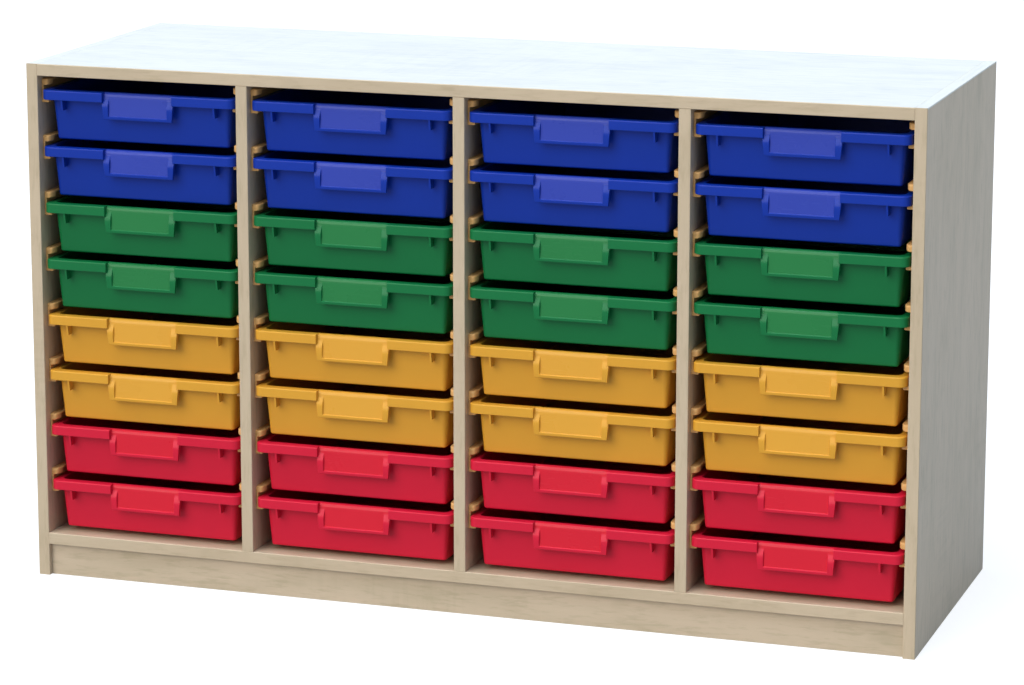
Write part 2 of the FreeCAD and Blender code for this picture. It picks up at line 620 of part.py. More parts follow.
def make_back_screws():
    """Screws through the back panel into the rear edges of the dividers."""
    screw = make_screw("back_screw", "XZ_Plane", "Sizes.back_screw_diameter",
                       "Sizes.back_screw_length", "Sizes.back_screw_head_diameter",
                       "Sizes.back_screw_head_height", False)
    rear = f"({BACK_FACE} + Sizes.back_thickness)"
    copies = [copy_of("back_screw_copy", screw,
                      f"({bay_left(bay)} + Sizes.bay_width + Sizes.board / 2)",
                      rear, f"({FLOOR_TOP} + {z})")
              for bay in range(1, BAYS) for z in BACK_SCREWS]
    return group_of("back_panel_screws", copies)


def on_outline(edge, half_width, front, rear, height):
    """Whether an edge lies on a plan outline at a height."""
    box = edge.BoundBox
    level = abs(box.ZMin - height) < SLACK and abs(box.ZMax - height) < SLACK
    beside = max(abs(box.XMin), abs(box.XMax)) > half_width - SLACK
    ahead = box.YMin < front + SLACK or box.YMax > rear - SLACK
    inside = (max(abs(box.XMin), abs(box.XMax)) < half_width + SLACK
              and box.YMin > front - SLACK and box.YMax < rear + SLACK)
    return level and inside and (beside or ahead)


def make_tray():
    """One tray; X is centred, Y = 0 is the front of the lip and Z = 0 the rim."""
    body = make_body("tray_master")
    add_rim(body)
    add_tub(body)
    add_gussets(body)
    add_handle(body)
    return body


def add_rim(body):
    """The flat rim with its turned-down lip."""
    half = f"({TRAY_WIDTH} / 2)"
    rim = make_sketch(body, "XY_Plane")
    draw_rectangle(rim, f"(-{half})", half, "0", TRAY_LENGTH, "Sizes.lip_radius")
    top = pad(body, rim, "Sizes.lip_height", reverse=True)
    round_edges(body, top, "Sizes.rim_round",
                lambda edge: on_outline(edge, value(half), 0, value(TRAY_LENGTH), 0))
    inside = f"({half} - Sizes.tray_wall)"
    under = make_sketch(body, "XY_Plane", "(-Sizes.lip_height)")
    draw_rectangle(under, f"(-{inside})", inside, "Sizes.tray_wall",
                   f"({TRAY_LENGTH} - Sizes.tray_wall)", "(Sizes.lip_radius - Sizes.tray_wall)")
    pocket(body, under, "(Sizes.lip_height - Sizes.rim_thickness)", reverse=True)


def add_tub(body):
    """The hollow body under the rim, with drafted walls."""
    half = f"({TRAY_WIDTH} / 2 - Sizes.side_step)"
    rear = f"({TRAY_LENGTH} - Sizes.side_step)"
    outside = make_sketch(body, "XY_Plane")
    draw_rectangle(outside, f"(-{half})", half, "Sizes.front_step", rear, "Sizes.body_radius")
    tub = pad(body, outside, "Sizes.tray_height", reverse=True, taper="(-Sizes.body_taper)")
    foot = -value("Sizes.tray_height")
    tub = round_edges(body, tub, "Sizes.foot_round",
                      lambda edge: edge.BoundBox.ZMax < foot + SLACK)
    hollow = make_sketch(body, "XY_Plane")
    inner = f"({half} - Sizes.tray_wall)"
    draw_rectangle(hollow, f"(-{inner})", inner, "(Sizes.front_step + Sizes.tray_wall)",
                   f"({rear} - Sizes.tray_wall)", "(Sizes.body_radius - Sizes.tray_wall)")
    cut = pocket(body, hollow, "(Sizes.tray_height - Sizes.tray_floor)",
                 taper="(-Sizes.body_taper)")
    front = value("Sizes.front_step + Sizes.tray_wall")
    back = value(f"{rear} - Sizes.tray_wall")
    round_edges(body, cut, "Sizes.rim_round",
                lambda edge: on_outline(edge, value(inner), front, back, 0))


def add_gussets(body):
    """Two small webs between the lip and the body."""
    draft = "tan(Sizes.body_taper * 1 deg)"
    root = "(Sizes.front_step + Sizes.tray_wall / 2)"
    wall = f"(Sizes.front_step + Sizes.gusset_drop * {draft})"
    top = "(-Sizes.rim_thickness / 2)"
    foot = "(-Sizes.gusset_drop)"
    for side in (-1, 1):
        web = make_sketch(body, "YZ_Plane",
                          f"({side} * Sizes.gusset_spacing / 2 - Sizes.gusset_thickness / 2)")
        draw_outline(web, [(root, top), ("Sizes.tray_wall / 2", top),
                           ("Sizes.tray_wall / 2", "(-Sizes.lip_height)"),
                           (f"({wall} - Sizes.gusset_foot)", foot),
                           (f"({wall} + Sizes.tray_wall / 2)", foot)])
        pad(body, web, "Sizes.gusset_thickness")


def add_handle(body):
    """The label plate that rolls down from the rim, between two cheeks."""
    clear = "(Sizes.label_setback + Sizes.label_roll)"
    foot = "(-Sizes.handle_drop)"
    low = f"(-Sizes.handle_drop - {OVERCUT})"
    lip_foot = "(-Sizes.lip_height)"
    back_y = "(Sizes.front_step + Sizes.tray_wall / 2)"
    lean = "((Sizes.label_setback - Sizes.label_foot) / Sizes.handle_drop)"
    cheek_top = "(Sizes.lip_height - Sizes.cheek_rise)"
    cheek_root = f"(Sizes.label_setback - {lean} * {cheek_top} + Sizes.tray_wall / 2)"

    ends = make_sketch(body, "YZ_Plane")
    draw_outline(ends, [("Sizes.tray_wall / 2", "(-Sizes.rim_thickness / 2)"),
                        ("Sizes.tray_wall / 2", lip_foot),
                        ("(Sizes.label_setback + Sizes.tray_wall)", lip_foot),
                        (back_y, "(-Sizes.rim_thickness / 2)")])
    pad(body, ends, "(Sizes.handle_width + 2 * Sizes.tray_wall)", both=True)

    notch = make_sketch(body, "XY_Plane")
    draw_rectangle(notch, "(-Sizes.handle_width / 2)", "(Sizes.handle_width / 2)",
                   f"-{OVERCUT}", clear)
    pocket(body, notch, f"(Sizes.lip_height + {OVERCUT})")

    cheeks = make_sketch(body, "YZ_Plane")
    draw_outline(cheeks, [(cheek_root, f"(-{cheek_top})"),
                          ("Sizes.tray_wall / 2", f"(-{cheek_top})"),
                          ("(-Sizes.cheek_bulge)", "(-Sizes.lip_height - Sizes.cheek_drop)",
                           "Sizes.cheek_round"),
                          ("Sizes.cheek_foot", foot),
                          ("(Sizes.label_foot + Sizes.tray_wall)", foot)])
    pad(body, cheeks, "Sizes.handle_top_width", both=True)

    recess = make_sketch(body, "YZ_Plane")
    border = "(-Sizes.handle_drop + Sizes.label_border)"
    border_y = f"(Sizes.label_foot + {lean} * Sizes.label_border)"
    out_y = f"(-Sizes.cheek_bulge - {OVERCUT})"
    draw_outline(recess, [("Sizes.label_setback", "0"), (border_y, border), (out_y, border),
                          (out_y, "0")])
    pocket(body, recess, "Sizes.label_width", both=True)

    plate = make_sketch(body, "YZ_Plane")
    draw_outline(plate, [(back_y, "0"),
                         ("Sizes.label_setback", "0", "Sizes.label_roll"),
                         ("Sizes.label_foot", foot),
                         ("(Sizes.label_foot + Sizes.tray_wall)", foot),
                         ("(Sizes.label_setback + Sizes.tray_wall)", "(-Sizes.rim_thickness)",
                          "(Sizes.label_roll - Sizes.tray_wall)"),
                         (back_y, "(-Sizes.rim_thickness)")])
    pad(body, plate, "Sizes.handle_width", both=True)

    flare = make_sketch(body, "XZ_Plane", f"(Sizes.cheek_bulge + {OVERCUT})")
    for side in ("", "-"):
        top_x = f"({side}Sizes.handle_top_width / 2)"
        foot_x = f"({side}Sizes.handle_foot_width / 2)"
        out_x = f"({side}(Sizes.handle_top_width / 2 + {OVERCUT}))"
        draw_outline(flare, [(top_x, lip_foot), (foot_x, foot), (foot_x, low),
                             (out_x, low), (out_x, lip_foot)])
    pocket(body, flare, f"(Sizes.cheek_bulge + {OVERCUT} + Sizes.front_step)")


def make_trays():
    """One tray in every row of every bay."""
    tray = make_tray()
    doc.recompute()
    return [copy_of(f"tray_bay{bay}_row{row}", tray,
                    f"({bay_left(bay)} + Sizes.bay_width / 2)",
                    f"({FRONT} + Sizes.tray_setback)", row_rim(row))
            for bay in range(1, BAYS + 1) for row in range(1, ROWS + 1)]


subparts = make_carcass() + make_edging() + make_dowels() + make_runners()
subparts += [make_back_screws()] + make_trays()
doc.recompute()

for item in doc.Objects:
    if "Invalid" in item.State or "Error" in item.State:
        raise RuntimeError(f"{item.Label} did not recompute: {item.State}")
for subpart in subparts:
    if subpart.Shape.isNull() or not subpart.Shape.isValid():
        raise RuntimeError(f"{subpart.Label} has no valid shape")

os.makedirs("parts", exist_ok=True)
for subpart in subparts:
    subpart.Shape.exportStep(f"parts/{subpart.Label}.step")
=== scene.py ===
import logging
import math
from dataclasses import dataclass
from enum import Enum

import bmesh
import bpy
from mathutils import Matrix, Vector


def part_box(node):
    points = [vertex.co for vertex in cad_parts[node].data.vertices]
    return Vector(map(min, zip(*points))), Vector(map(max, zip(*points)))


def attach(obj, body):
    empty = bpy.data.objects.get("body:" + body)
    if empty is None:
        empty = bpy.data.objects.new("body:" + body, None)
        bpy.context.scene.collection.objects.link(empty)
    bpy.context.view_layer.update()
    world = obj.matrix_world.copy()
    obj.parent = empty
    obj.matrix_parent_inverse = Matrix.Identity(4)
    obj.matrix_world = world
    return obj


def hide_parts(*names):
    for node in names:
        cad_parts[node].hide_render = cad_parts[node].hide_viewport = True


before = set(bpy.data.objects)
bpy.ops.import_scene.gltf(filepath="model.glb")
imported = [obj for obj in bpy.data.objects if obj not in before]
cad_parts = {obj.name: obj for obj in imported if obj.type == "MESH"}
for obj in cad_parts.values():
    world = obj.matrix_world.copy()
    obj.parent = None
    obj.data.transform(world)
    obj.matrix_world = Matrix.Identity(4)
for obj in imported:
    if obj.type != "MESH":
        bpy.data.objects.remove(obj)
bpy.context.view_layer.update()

# Looks for the classroom tray storage unit, built around its solids.
# Lengths are metres and share the frame of the solids: X to the right along the
# open front, Y to the back panel, Z up, the origin on the floor under the middle.

MM = 0.001
BAYS = 4
ROWS = 8
CABINET = "cabinet"
TOUCH = 0.01 * MM  # places closer than this lie in one plane
OVERCUT = 1 * MM  # how far a cutting tool reaches out of what it cuts
SHARP = math.radians(32.0)  # edges that turn more than this are shaded sharp
REFRACTION = 1.5  # of the plastic and of the boards' printed facing
WHITE = (1.0, 1.0, 1.0, 1.0)
Point = tuple[float, float, float]
Colour = tuple[float, float, float]
log = logging.getLogger("tray_unit")


class Axis(Enum):
    """A direction of the frame, as the turn that brings it onto X."""

    X = (0.0, 0.0, 0.0)
    Y = (0.0, 0.0, -math.pi / 2)
    Z = (0.0, math.pi / 2, 0.0)

    @property
    def number(self) -> int:
        """Its place among a point's coordinates."""
        return "XYZ".index(self.name)


class Side(Enum):
    """A side of a bay, as the way in X from its wall into the bay."""

    LEFT = 1
    RIGHT = -1

    def runners(self, bay: int) -> str:
        """The node of the runners on this side of a bay."""
        return f"runners_bay{bay}_{self.name.lower()}"

    def wall(self, bay: int) -> float:
        """X of the wall that carries them."""
        low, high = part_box(self.runners(bay))
        return low.x if self is Side.LEFT else high.x


class Join(Enum):
    """What a boolean does with its second mesh."""

    ADD = "UNION"
    CUT = "DIFFERENCE"


class Row(Enum):
    """The colour of the trays in each pair of rows, from the top."""

    BLUE = (1, 2)
    GREEN = (3, 4)
    YELLOW = (5, 6)
    RED = (7, 8)

    @property
    def slot(self) -> str:
        """The record's material slot for trays of this colour."""
        return f"tray_{self.name.lower()}"


# ---------------------------------------------------------------- mesh helpers


def linked(name: str, mesh: bpy.types.Mesh) -> bpy.types.Object:
    """Put a mesh into the scene.

    Args:
        name: Name of the new object.
        mesh: Its mesh, placed in the frame.

    Returns:
        The object, at the origin.
    """
    mesh.name = name
    obj = bpy.data.objects.new(name, mesh)
    bpy.context.scene.collection.objects.link(obj)
    return obj


def from_bmesh(name: str, bm: bmesh.types.BMesh) -> bpy.types.Object:
    """Turn a bmesh into an object and free it.

    Args:
        name: Name of the new object.
        bm: The bmesh, whose faces may point either way.

    Returns:
        The object, with its faces pointing outwards.
    """
    bmesh.ops.recalc_face_normals(bm, faces=bm.faces)
    mesh = bpy.data.meshes.new(name)
    bm.to_mesh(mesh)
    bm.free()
    return linked(name, mesh)


def baked(obj: bpy.types.Object) -> bpy.types.Object:
    """Apply an object's modifiers.

    Args:
        obj: The object, which is replaced.

    Returns:
        A plain mesh object of the same name.
    """
    graph = bpy.context.evaluated_depsgraph_get()
    mesh = bpy.data.meshes.new_from_object(
        obj.evaluated_get(graph), preserve_all_data_layers=True, depsgraph=graph)
    obj.modifiers.clear()
    old = obj.data
    obj.data = mesh
    mesh.name = obj.name
    bpy.data.meshes.remove(old)
    return obj


def smoothed(obj: bpy.types.Object) -> bpy.types.Object:
    """Shade a mesh smooth, with sharp edges kept sharp and flat faces flat.

    Args:
        obj: The mesh object.

    Returns:
        The same object.
    """
    obj.data.shade_smooth()
    obj.data.set_sharp_from_angle(angle=SHARP)
    weighted = obj.modifiers.new("weighted", "WEIGHTED_NORMAL")
    weighted.keep_sharp = True
    weighted.weight = 100
    return baked(obj)


def boolean(base: bpy.types.Object, tool: bpy.types.Object, join: Join) -> bpy.types.Object:
    """Cut or join one closed mesh with another, which is used up.

    Args:
        base: The mesh that is changed.
        tool: The mesh that cuts it or is joined to it.
        join: Which of the two is done.

    Returns:
        The changed base.
    """
    modifier = base.modifiers.new("join", "BOOLEAN")
    modifier.operation = join.value
    modifier.solver = "EXACT"
    modifier.object = tool
    baked(base)
    bpy.data.objects.remove(tool)
    return base


def skin(bm: bmesh.types.BMesh, rings: list[list[Vector]]) -> None:
    """Add a closed surface through rings that have the same number of points.

    Args:
        bm: The bmesh to add to.
        rings: Rings of points, in order. The first and the last are filled.
    """
    verts = [[bm.verts.new(point) for point in ring] for ring in rings]
    count = len(rings[0])
    for low, high in zip(verts, verts[1:]):
        for i in range(count):
            j = (i + 1) % count
            bm.faces.new((low[i], low[j], high[j], high[i]))
    bm.faces.new(reversed(verts[0]))
    bm.faces.new(verts[-1])


def skinned(name: str, rings: list[list[Vector]]) -> bpy.types.Object:
    """Make an object of one closed surface through rings.

    Args:
        name: Name of the new object.
        rings: Rings of points, in order.

    Returns:
        The object.
    """
    bm = bmesh.new()
    skin(bm, rings)
    return from_bmesh(name, bm)


def arc(centre: tuple[float, float], radius: float, start: float, end: float,
        steps: int) -> list[tuple[float, float]]:
    """Points along an arc.

    Args:
        centre: The arc's centre.
        radius: Its radius.
        start: First angle, in degrees.
        end: Last angle, in degrees.
        steps: Number of stretches.

    Returns:
        The points, both ends included.
    """
    angles = [math.radians(start + (end - start) * i / steps) for i in range(steps + 1)]
    return [(centre[0] + radius * math.cos(a), centre[1] + radius * math.sin(a))
            for a in angles]


def edge_steps(radius: float) -> list[float]:
    """Distances from the end of a rounded edge at which it gets a line of points."""
    return [radius * (1.0 - math.cos(math.radians(angle))) for angle in (0, 30, 60, 90)]


def rounded_off(distance: float, radius: float) -> float:
    """How far a rounded edge lies back, from its radius at the end to 0 further in.

    Args:
        distance: Distance of the place from the end.
        radius: Radius of the rounding.

    Returns:
        The setback at that place.
    """
    share = min(1.0, max(0.0, 1.0 - distance / radius))
    return radius * (1.0 - math.sqrt(1.0 - share ** 2))


def eased(value: float) -> float:
    """A number from 0 to 1, eased at both ends."""
    share = min(1.0, max(0.0, value))
    return share * share * (3.0 - 2.0 * share)


def blended(low: float, high: float, share: float) -> float:
    """A number between two others."""
    return low + (high - low) * share


# ---------------------------------------------------------------- trays


@dataclass(frozen=True)
class Outline:
    """A rectangle with rounded corners, seen from above.

    Args:
        half_width: Half of its width in X.
        front: Its lowest Y.
        rear: Its highest Y.
        radius: Radius of its corners.
        least_radius: The tightest radius that an inset leaves.
        corner_steps: Stretches in each corner.
    """

    half_width: float
    front: float
    rear: float
    radius: float
    least_radius: float = 0.3 * MM
    corner_steps: int = 6

    def inset(self, amount: float) -> "Outline":
        """The outline moved inwards, with its corners made that much tighter."""
        return Outline(self.half_width - amount, self.front + amount, self.rear - amount,
                       max(self.radius - amount, self.least_radius))

    def ring(self, z: float) -> list[Vector]:
        """Points around the outline at a height, anticlockwise from the right rear corner.

        Args:
            z: The height.

        Returns:
            The points.
        """
        x, rear = self.half_width - self.radius, self.rear - self.radius
        front = self.front + self.radius
        corners = ((x, rear, 0), (-x, rear, 90), (-x, front, 180), (x, front, 270))
        return [Vector((px, py, z)) for cx, cy, turn in corners
                for px, py in arc((cx, cy), self.radius, turn, turn + 90, self.corner_steps)]


@dataclass
class TrayShape:
    """A moulded tray. X = 0 is its middle, Y = 0 the front of its lip, Z = 0 its rim."""

    width: float = 312 * MM
    length: float = 427 * MM
    height: float = 76 * MM
    wall: float = 2.2 * MM
    floor: float = 2.5 * MM

    # Rim, and the lip that hangs from it
    rim: float = 2.5 * MM
    lip_height: float = 14.6 * MM
    lip_radius: float = 12 * MM
    rim_round: float = 1.9 * MM
    under_round: float = 1.0 * MM

    # Body under the rim, its steps measured from the lip's face
    side_step: float = 9.5 * MM
    front_step: float = 14 * MM
    body_radius: float = 12 * MM
    draft: float = math.radians(5.0)
    foot_round: float = 3 * MM
    floor_round: float = 1.5 * MM

    # Gap in the lip, and the handle in it
    notch_half: float = 56 * MM
    notch_depth: float = 13 * MM
    notch_round: float = 0.8 * MM
    handle_half: float = 58 * MM
    handle_foot_half: float = 55.25 * MM
    handle_drop: float = 40 * MM
    handle_edge: float = 1.2 * MM
    handle_bite: float = 1.32 * MM
    handle_sink: float = 0.05 * MM
    fillet_width: float = 1.4 * MM
    fillet_height: float = 1 * MM
    fillet_foot: float = 0.3 * MM

    # Label plate, its top and foot measured from the lip's face
    label_half: float = 47 * MM
    label_top: float = 7 * MM
    label_foot: float = 4 * MM
    label_roll: float = 6 * MM
    label_border: float = 4.8 * MM
    recess_round: float = 1.2 * MM

    # Webs between the lip and the body
    gusset_half: float = 123 * MM
    gusset_thickness: float = 3 * MM
    gusset_drop: float = 30 * MM
    gusset_lean: float = 3 * MM
    lip_end_rise: float = 0.4 * MM
    web_edge: float = 0.25 * MM

    # Front of a cheek: height under the rim and distance behind the lip's face
    cheek_line = ((9.0, 6.1), (11.0, 5.5), (13.0, 4.7), (15.0, 3.8), (17.0, 3.0), (19.0, 2.4),
                  (21.0, 2.1), (24.0, 2.0), (29.0, 2.2), (34.0, 2.6), (40.0, 3.1))

    @property
    def rim_line(self) -> Outline:
        """Outside of the lip."""
        return Outline(self.width / 2, 0.0, self.length, self.lip_radius)

    @property
    def body_line(self) -> Outline:
        """Outside of the body at the height of the rim."""
        return Outline(self.width / 2 - self.side_step, self.front_step,
                       self.length - self.side_step, self.body_radius)

    @property
    def cheek_top(self) -> float:
        """Depth under the rim at which the cheeks start to stand out."""
        return self.cheek_line[0][0] * MM

    @property
    def border_top(self) -> float:
        """Depth under the rim of the border below the label."""
        return self.handle_drop - self.label_border

    def shell(self) -> bpy.types.Object:
        """The rim, its lip and the drafted body, as one closed skin.

        Returns:
            The shell.
        """
        slope = math.tan(self.draft)
        inner = self.body_line.inset(self.wall)
        deep = self.height - self.floor
        rings = []

        def add(line: Outline, profile: list[tuple[float, float]]) -> None:
            """Carry a profile, as insets and heights, around an outline."""
            rings.extend(line.inset(amount).ring(z) for amount, z in profile)

        r = self.floor_round
        add(inner, arc((deep * slope + r, r - deep), r, 270, 180, 3))
        r = self.rim_round
        add(inner, arc((-r, -r), r, 0, 90, 4))
        add(self.rim_line, arc((r, -r), r, 90, 180, 4))
        r = self.wall / 2
        add(self.rim_line, arc((r, r - self.lip_height), r, 180, 360, 6))
        r = self.under_round
        add(self.rim_line, arc((self.wall + r, -self.rim - r), r, 180, 90, 2))
        add(self.body_line, arc((-r, -self.rim - r), r, 90, 0, 2))
        r = self.foot_round
        add(self.body_line, arc((self.height * slope + r, r - self.height), r, 180, 270, 5))
        return skinned("tray_shell", rings)

    def notch(self) -> bpy.types.Object:
        """What is cut out of the lip for the handle, with rounded ends to the lip.

        Returns:
            The cutting tool.
        """
        r, half = self.notch_round, self.notch_half
        side = [(half + r + OVERCUT, -OVERCUT), *arc((half + r, r), r, 270, 180, 3),
                (half, self.notch_depth)]
        plan = side + [(-x, y) for x, y in reversed(side)]
        return skinned("tray_notch", [[Vector((x, y, z)) for x, y in plan]
                                      for z in (-self.lip_height - OVERCUT, OVERCUT)])

    def slab(self, name: str, x: float, thickness: float,
             profile: list[tuple[float, float]]) -> bpy.types.Object:
        """A flat web with softened edges.

        Args:
            name: Name of the object.
            x: Its middle in X.
            thickness: Its thickness.
            profile: Its outline as Y and Z.

        Returns:
            The web, as a closed mesh.
        """
        bm = bmesh.new()
        skin(bm, [[Vector((x + side * thickness / 2, y, z)) for y, z in profile]
                  for side in (-1, 1)])
        bmesh.ops.bevel(bm, geom=list(bm.edges), offset=self.web_edge, segments=1,
                        affect="EDGES", clamp_overlap=True)
        return from_bmesh(name, bm)

    def webs(self) -> list[bpy.types.Object]:
        """The closed ends of the lip at the notch, and the two gussets.

        Returns:
            Both of each.
        """
        front, back = self.wall / 2, self.front_step + self.wall / 2
        top, foot = -self.rim / 2, -self.lip_height + self.lip_end_rise
        end = [(front, top), (front, foot), (self.label_top + self.wall, foot), (back, top)]
        gusset = [(back, top), (front, top), (front, -self.lip_height),
                  (front + self.gusset_lean, -self.gusset_drop),
                  (back + self.gusset_drop * math.tan(self.draft), -self.gusset_drop)]
        made = []
        for side in (-1, 1):
            middle = side * (self.notch_half + self.wall / 2)
            made.append(self.slab("lip_end", middle, self.wall, end))
            made.append(self.slab("gusset", side * self.gusset_half, self.gusset_thickness,
                                  gusset))
        return made

    def plate_y(self, drop: float) -> float:
        """Y of the front of the label plate at a depth under the rim."""
        lean = (self.label_top - self.label_foot) / self.handle_drop
        return self.label_top - lean * drop + rounded_off(drop, self.label_roll)

    def cheek_y(self, drop: float) -> float:
        """Y of the front of a cheek, or of the border below the label.

        Args:
            drop: Depth under the rim.

        Returns:
            The plate's own front above the cheeks, and their line further down.
        """
        if drop <= self.cheek_top:
            return self.plate_y(drop)
        line = [(d * MM, y * MM) for d, y in self.cheek_line]
        for (d0, y0), (d1, y1) in zip(line, line[1:]):
            if drop <= d1:
                return blended(y0, y1, (drop - d0) / (d1 - d0))
        return line[-1][1]

    def outer_x(self, drop: float) -> float:
        """Half width of the handle at a depth under the rim.

        Args:
            drop: The depth.

        Returns:
            Its half width there.
        """
        if drop < self.cheek_top:
            return self.notch_half + self.handle_bite
        flare = (drop - self.lip_height) / (self.handle_drop - self.lip_height)
        return blended(self.handle_half, self.handle_foot_half, max(0.0, flare))

    def recess_steps(self) -> list[float]:
        """Offsets across the soft step from the label plate to what frames it."""
        return [self.recess_round * share for share in (-0.5, -0.3, -0.1, 0.1, 0.3, 0.5)]

    def handle_drops(self) -> list[float]:
        """Depths under the rim at which the handle gets a line of points.

        Returns:
            The depths, from the top.
        """
        drops = [self.label_roll * (1 - math.cos(math.radians(angle)))
                 for angle in (10, 22, 35, 48, 62, 76, 90)]
        drops += [drop * MM for drop, _ in self.cheek_line
                  if drop * MM < self.border_top - self.recess_round]
        drops += [self.border_top + offset for offset in self.recess_steps()]
        drops += [self.handle_drop - distance for distance in edge_steps(self.handle_edge)]
        return sorted(drops)

    def handle_columns(self, drop: float) -> list[tuple[float, float, float]]:
        """The handle's points from left to right.

        Args:
            drop: Depth under the rim.

        Returns:
            X, share of the cheek and setback of the rounded edge, for each point.
        """
        inside = [offset - self.label_half for offset in self.recess_steps()]
        cheek = self.handle_half - self.label_half
        left = [(-blended(-inside[0], self.outer_x(drop), 1.0 - distance / cheek), 1.0,
                 rounded_off(distance, self.handle_edge))
                for distance in edge_steps(self.handle_edge)]
        left += [(x, eased(0.5 - (x + self.label_half) / self.recess_round), 0.0)
                 for x in inside]
        return left + [(0.0, 0.0, 0.0)] + [(-x, share, back) for x, share, back in reversed(left)]

    def handle_front(self, drop: float) -> list[Vector]:
        """The front of the plate, its cheeks and its border, from left to right.

        Args:
            drop: Depth under the rim.

        Returns:
            The points.
        """
        border = eased(0.5 + (drop - self.border_top) / self.recess_round)
        tuck = rounded_off(self.handle_drop - drop, self.handle_edge)
        plate, cheek = self.plate_y(drop), self.cheek_y(drop)
        return [Vector((x, blended(plate, cheek, max(share, border)) + max(setback, tuck), -drop))
                for x, share, setback in self.handle_columns(drop)]

    def handle(self) -> bpy.types.Object:
        """The label plate, rolled down from the rim, between its cheeks and border.

        Returns:
            The handle.
        """
        def across(y: float, z: float, drop: float = 0.0) -> list[Vector]:
            """A straight line of points from left to right."""
            return [Vector((x, y, z)) for x, _, _ in self.handle_columns(drop)]

        rear = self.front_step + self.wall / 2
        inner = self.label_top + self.wall
        drops = self.handle_drops()
        sheet = [across(rear, -self.handle_sink),
                 across(self.label_top + self.label_roll, -self.handle_sink)]
        sheet += [self.handle_front(drop) for drop in drops]
        sheet += [across(self.plate_y(drop) + self.wall, -drop, drop)
                  for drop in reversed(drops) if drop > self.label_roll]
        sheet += [across(inner + self.fillet_foot, -self.rim - self.fillet_height),
                  across(inner + self.fillet_width, -self.rim), across(rear, -self.rim)]
        return skinned("tray_handle", [list(column) for column in zip(*sheet)])

    def mesh(self) -> bpy.types.Mesh:
        """The whole tray, in its own frame.

        Returns:
            Its mesh.
        """
        tray = boolean(self.shell(), self.notch(), Join.CUT)
        for part in (*self.webs(), self.handle()):
            boolean(tray, part, Join.ADD)
        smoothed(tray)
        mesh = tray.data
        bpy.data.objects.remove(tray)
        return mesh

    def dressed(self, mesh: bpy.types.Mesh) -> bpy.types.Mesh:
        """Mark the faces of the label plate as the tray's second finish.

        Args:
            mesh: The tray's mesh, in its own frame.

        Returns:
            The same mesh.
        """
        near, forward = 0.5 * MM, 0.3  # how closely a face lies on the plate and faces the front
        mesh.materials.clear()
        for face in mesh.polygons:
            x, y, z = face.center
            plate = abs(y - self.plate_y(-z)) < near and face.normal.y < -forward
            half = self.notch_half if -z < self.cheek_top else self.label_half
            face.material_index = int(plate and abs(x) < half and -z < self.border_top)
        return mesh


# ---------------------------------------------------------------- node trees


class Wiring:
    """Adds nodes and links to one node tree."""

    def __init__(self, tree: bpy.types.NodeTree) -> None:
        """Start on a tree, whose own nodes are cleared."""
        self.tree = tree
        tree.nodes.clear()

    def add(self, kind: str, settings: dict | None = None, **inputs: object) -> bpy.types.Node:
        """Add a node.

        Args:
            kind: Type of the node, such as ShaderNodeMath.
            settings: Values of the node's own properties.
            **inputs: Values or sockets for its inputs, named with _ for a space,
                or numbered as i0, i1 and so on.

        Returns:
            The node.
        """
        node = self.tree.nodes.new(kind)
        for key, item in (settings or {}).items():
            setattr(node, key, item)
        for key, item in inputs.items():
            numbered = key[0] == "i" and key[1:].isdigit()
            socket = node.inputs[int(key[1:]) if numbered else key.replace("_", " ")]
            if isinstance(item, bpy.types.NodeSocket):
                self.tree.links.new(item, socket)
            else:
                socket.default_value = item
        return node

    def plus(self, *values: object, clamp: bool = False) -> bpy.types.NodeSocket:
        """Add up two or more values.

        Args:
            *values: The values.
            clamp: Whether the result is kept between 0 and 1.

        Returns:
            The sum.
        """
        total = values[0]
        for value in values[1:]:
            node = self.add("ShaderNodeMath", {"operation": "ADD"}, i0=total, i1=value)
            total = node.outputs[0]
        node.use_clamp = clamp
        return total

    def times(self, first: object, second: object) -> bpy.types.NodeSocket:
        """The product of two values."""
        return self.add("ShaderNodeMath", {"operation": "MULTIPLY"}, i0=first,
                        i1=second).outputs[0]

    def vector(self, operation: str, first: object, second: object) -> bpy.types.NodeSocket:
        """Two vectors combined, one axis at a time."""
        return self.add("ShaderNodeVectorMath", {"operation": operation}, i0=first,
                        i1=second).outputs[0]

    def ranged(self, value: object, low: float, high: float, to_low: float = 0.0,
               to_high: float = 1.0) -> bpy.types.NodeSocket:
        """A value moved smoothly from one range to another and kept inside it.

        Args:
            value: The value.
            low: Where the first range starts.
            high: Where it ends.
            to_low: What its start becomes.
            to_high: What its end becomes.

        Returns:
            The new value.
        """
        node = self.add("ShaderNodeMapRange", {"clamp": True, "interpolation_type": "SMOOTHSTEP"},
                        Value=value, From_Min=low, From_Max=high, To_Min=to_low, To_Max=to_high)
        return node.outputs["Result"]

    def mixed(self, factor: object, first: object, second: object) -> bpy.types.NodeSocket:
        """A colour mixed from two."""
        return self.add("ShaderNodeMix", {"data_type": "RGBA"}, i0=factor, i6=first,
                        i7=second).outputs[2]

    def surface(self, color: object, rough: object, height: object, strength: float,
                relief: float, **more: float) -> None:
        """End a material in one Principled shader.

        Args:
            color: Its base colour.
            rough: Its roughness.
            height: What its bump follows.
            strength: Strength of the bump.
            relief: Depth of the bump, in metres.
            **more: Plain values of the shader's other inputs.
        """
        bump = self.add("ShaderNodeBump", Height=height, Strength=strength, Distance=relief)
        shader = self.add("ShaderNodeBsdfPrincipled", Base_Color=color, Roughness=rough,
                          Normal=bump.outputs[0], **more)
        self.add("ShaderNodeOutputMaterial", Surface=shader.outputs[0])


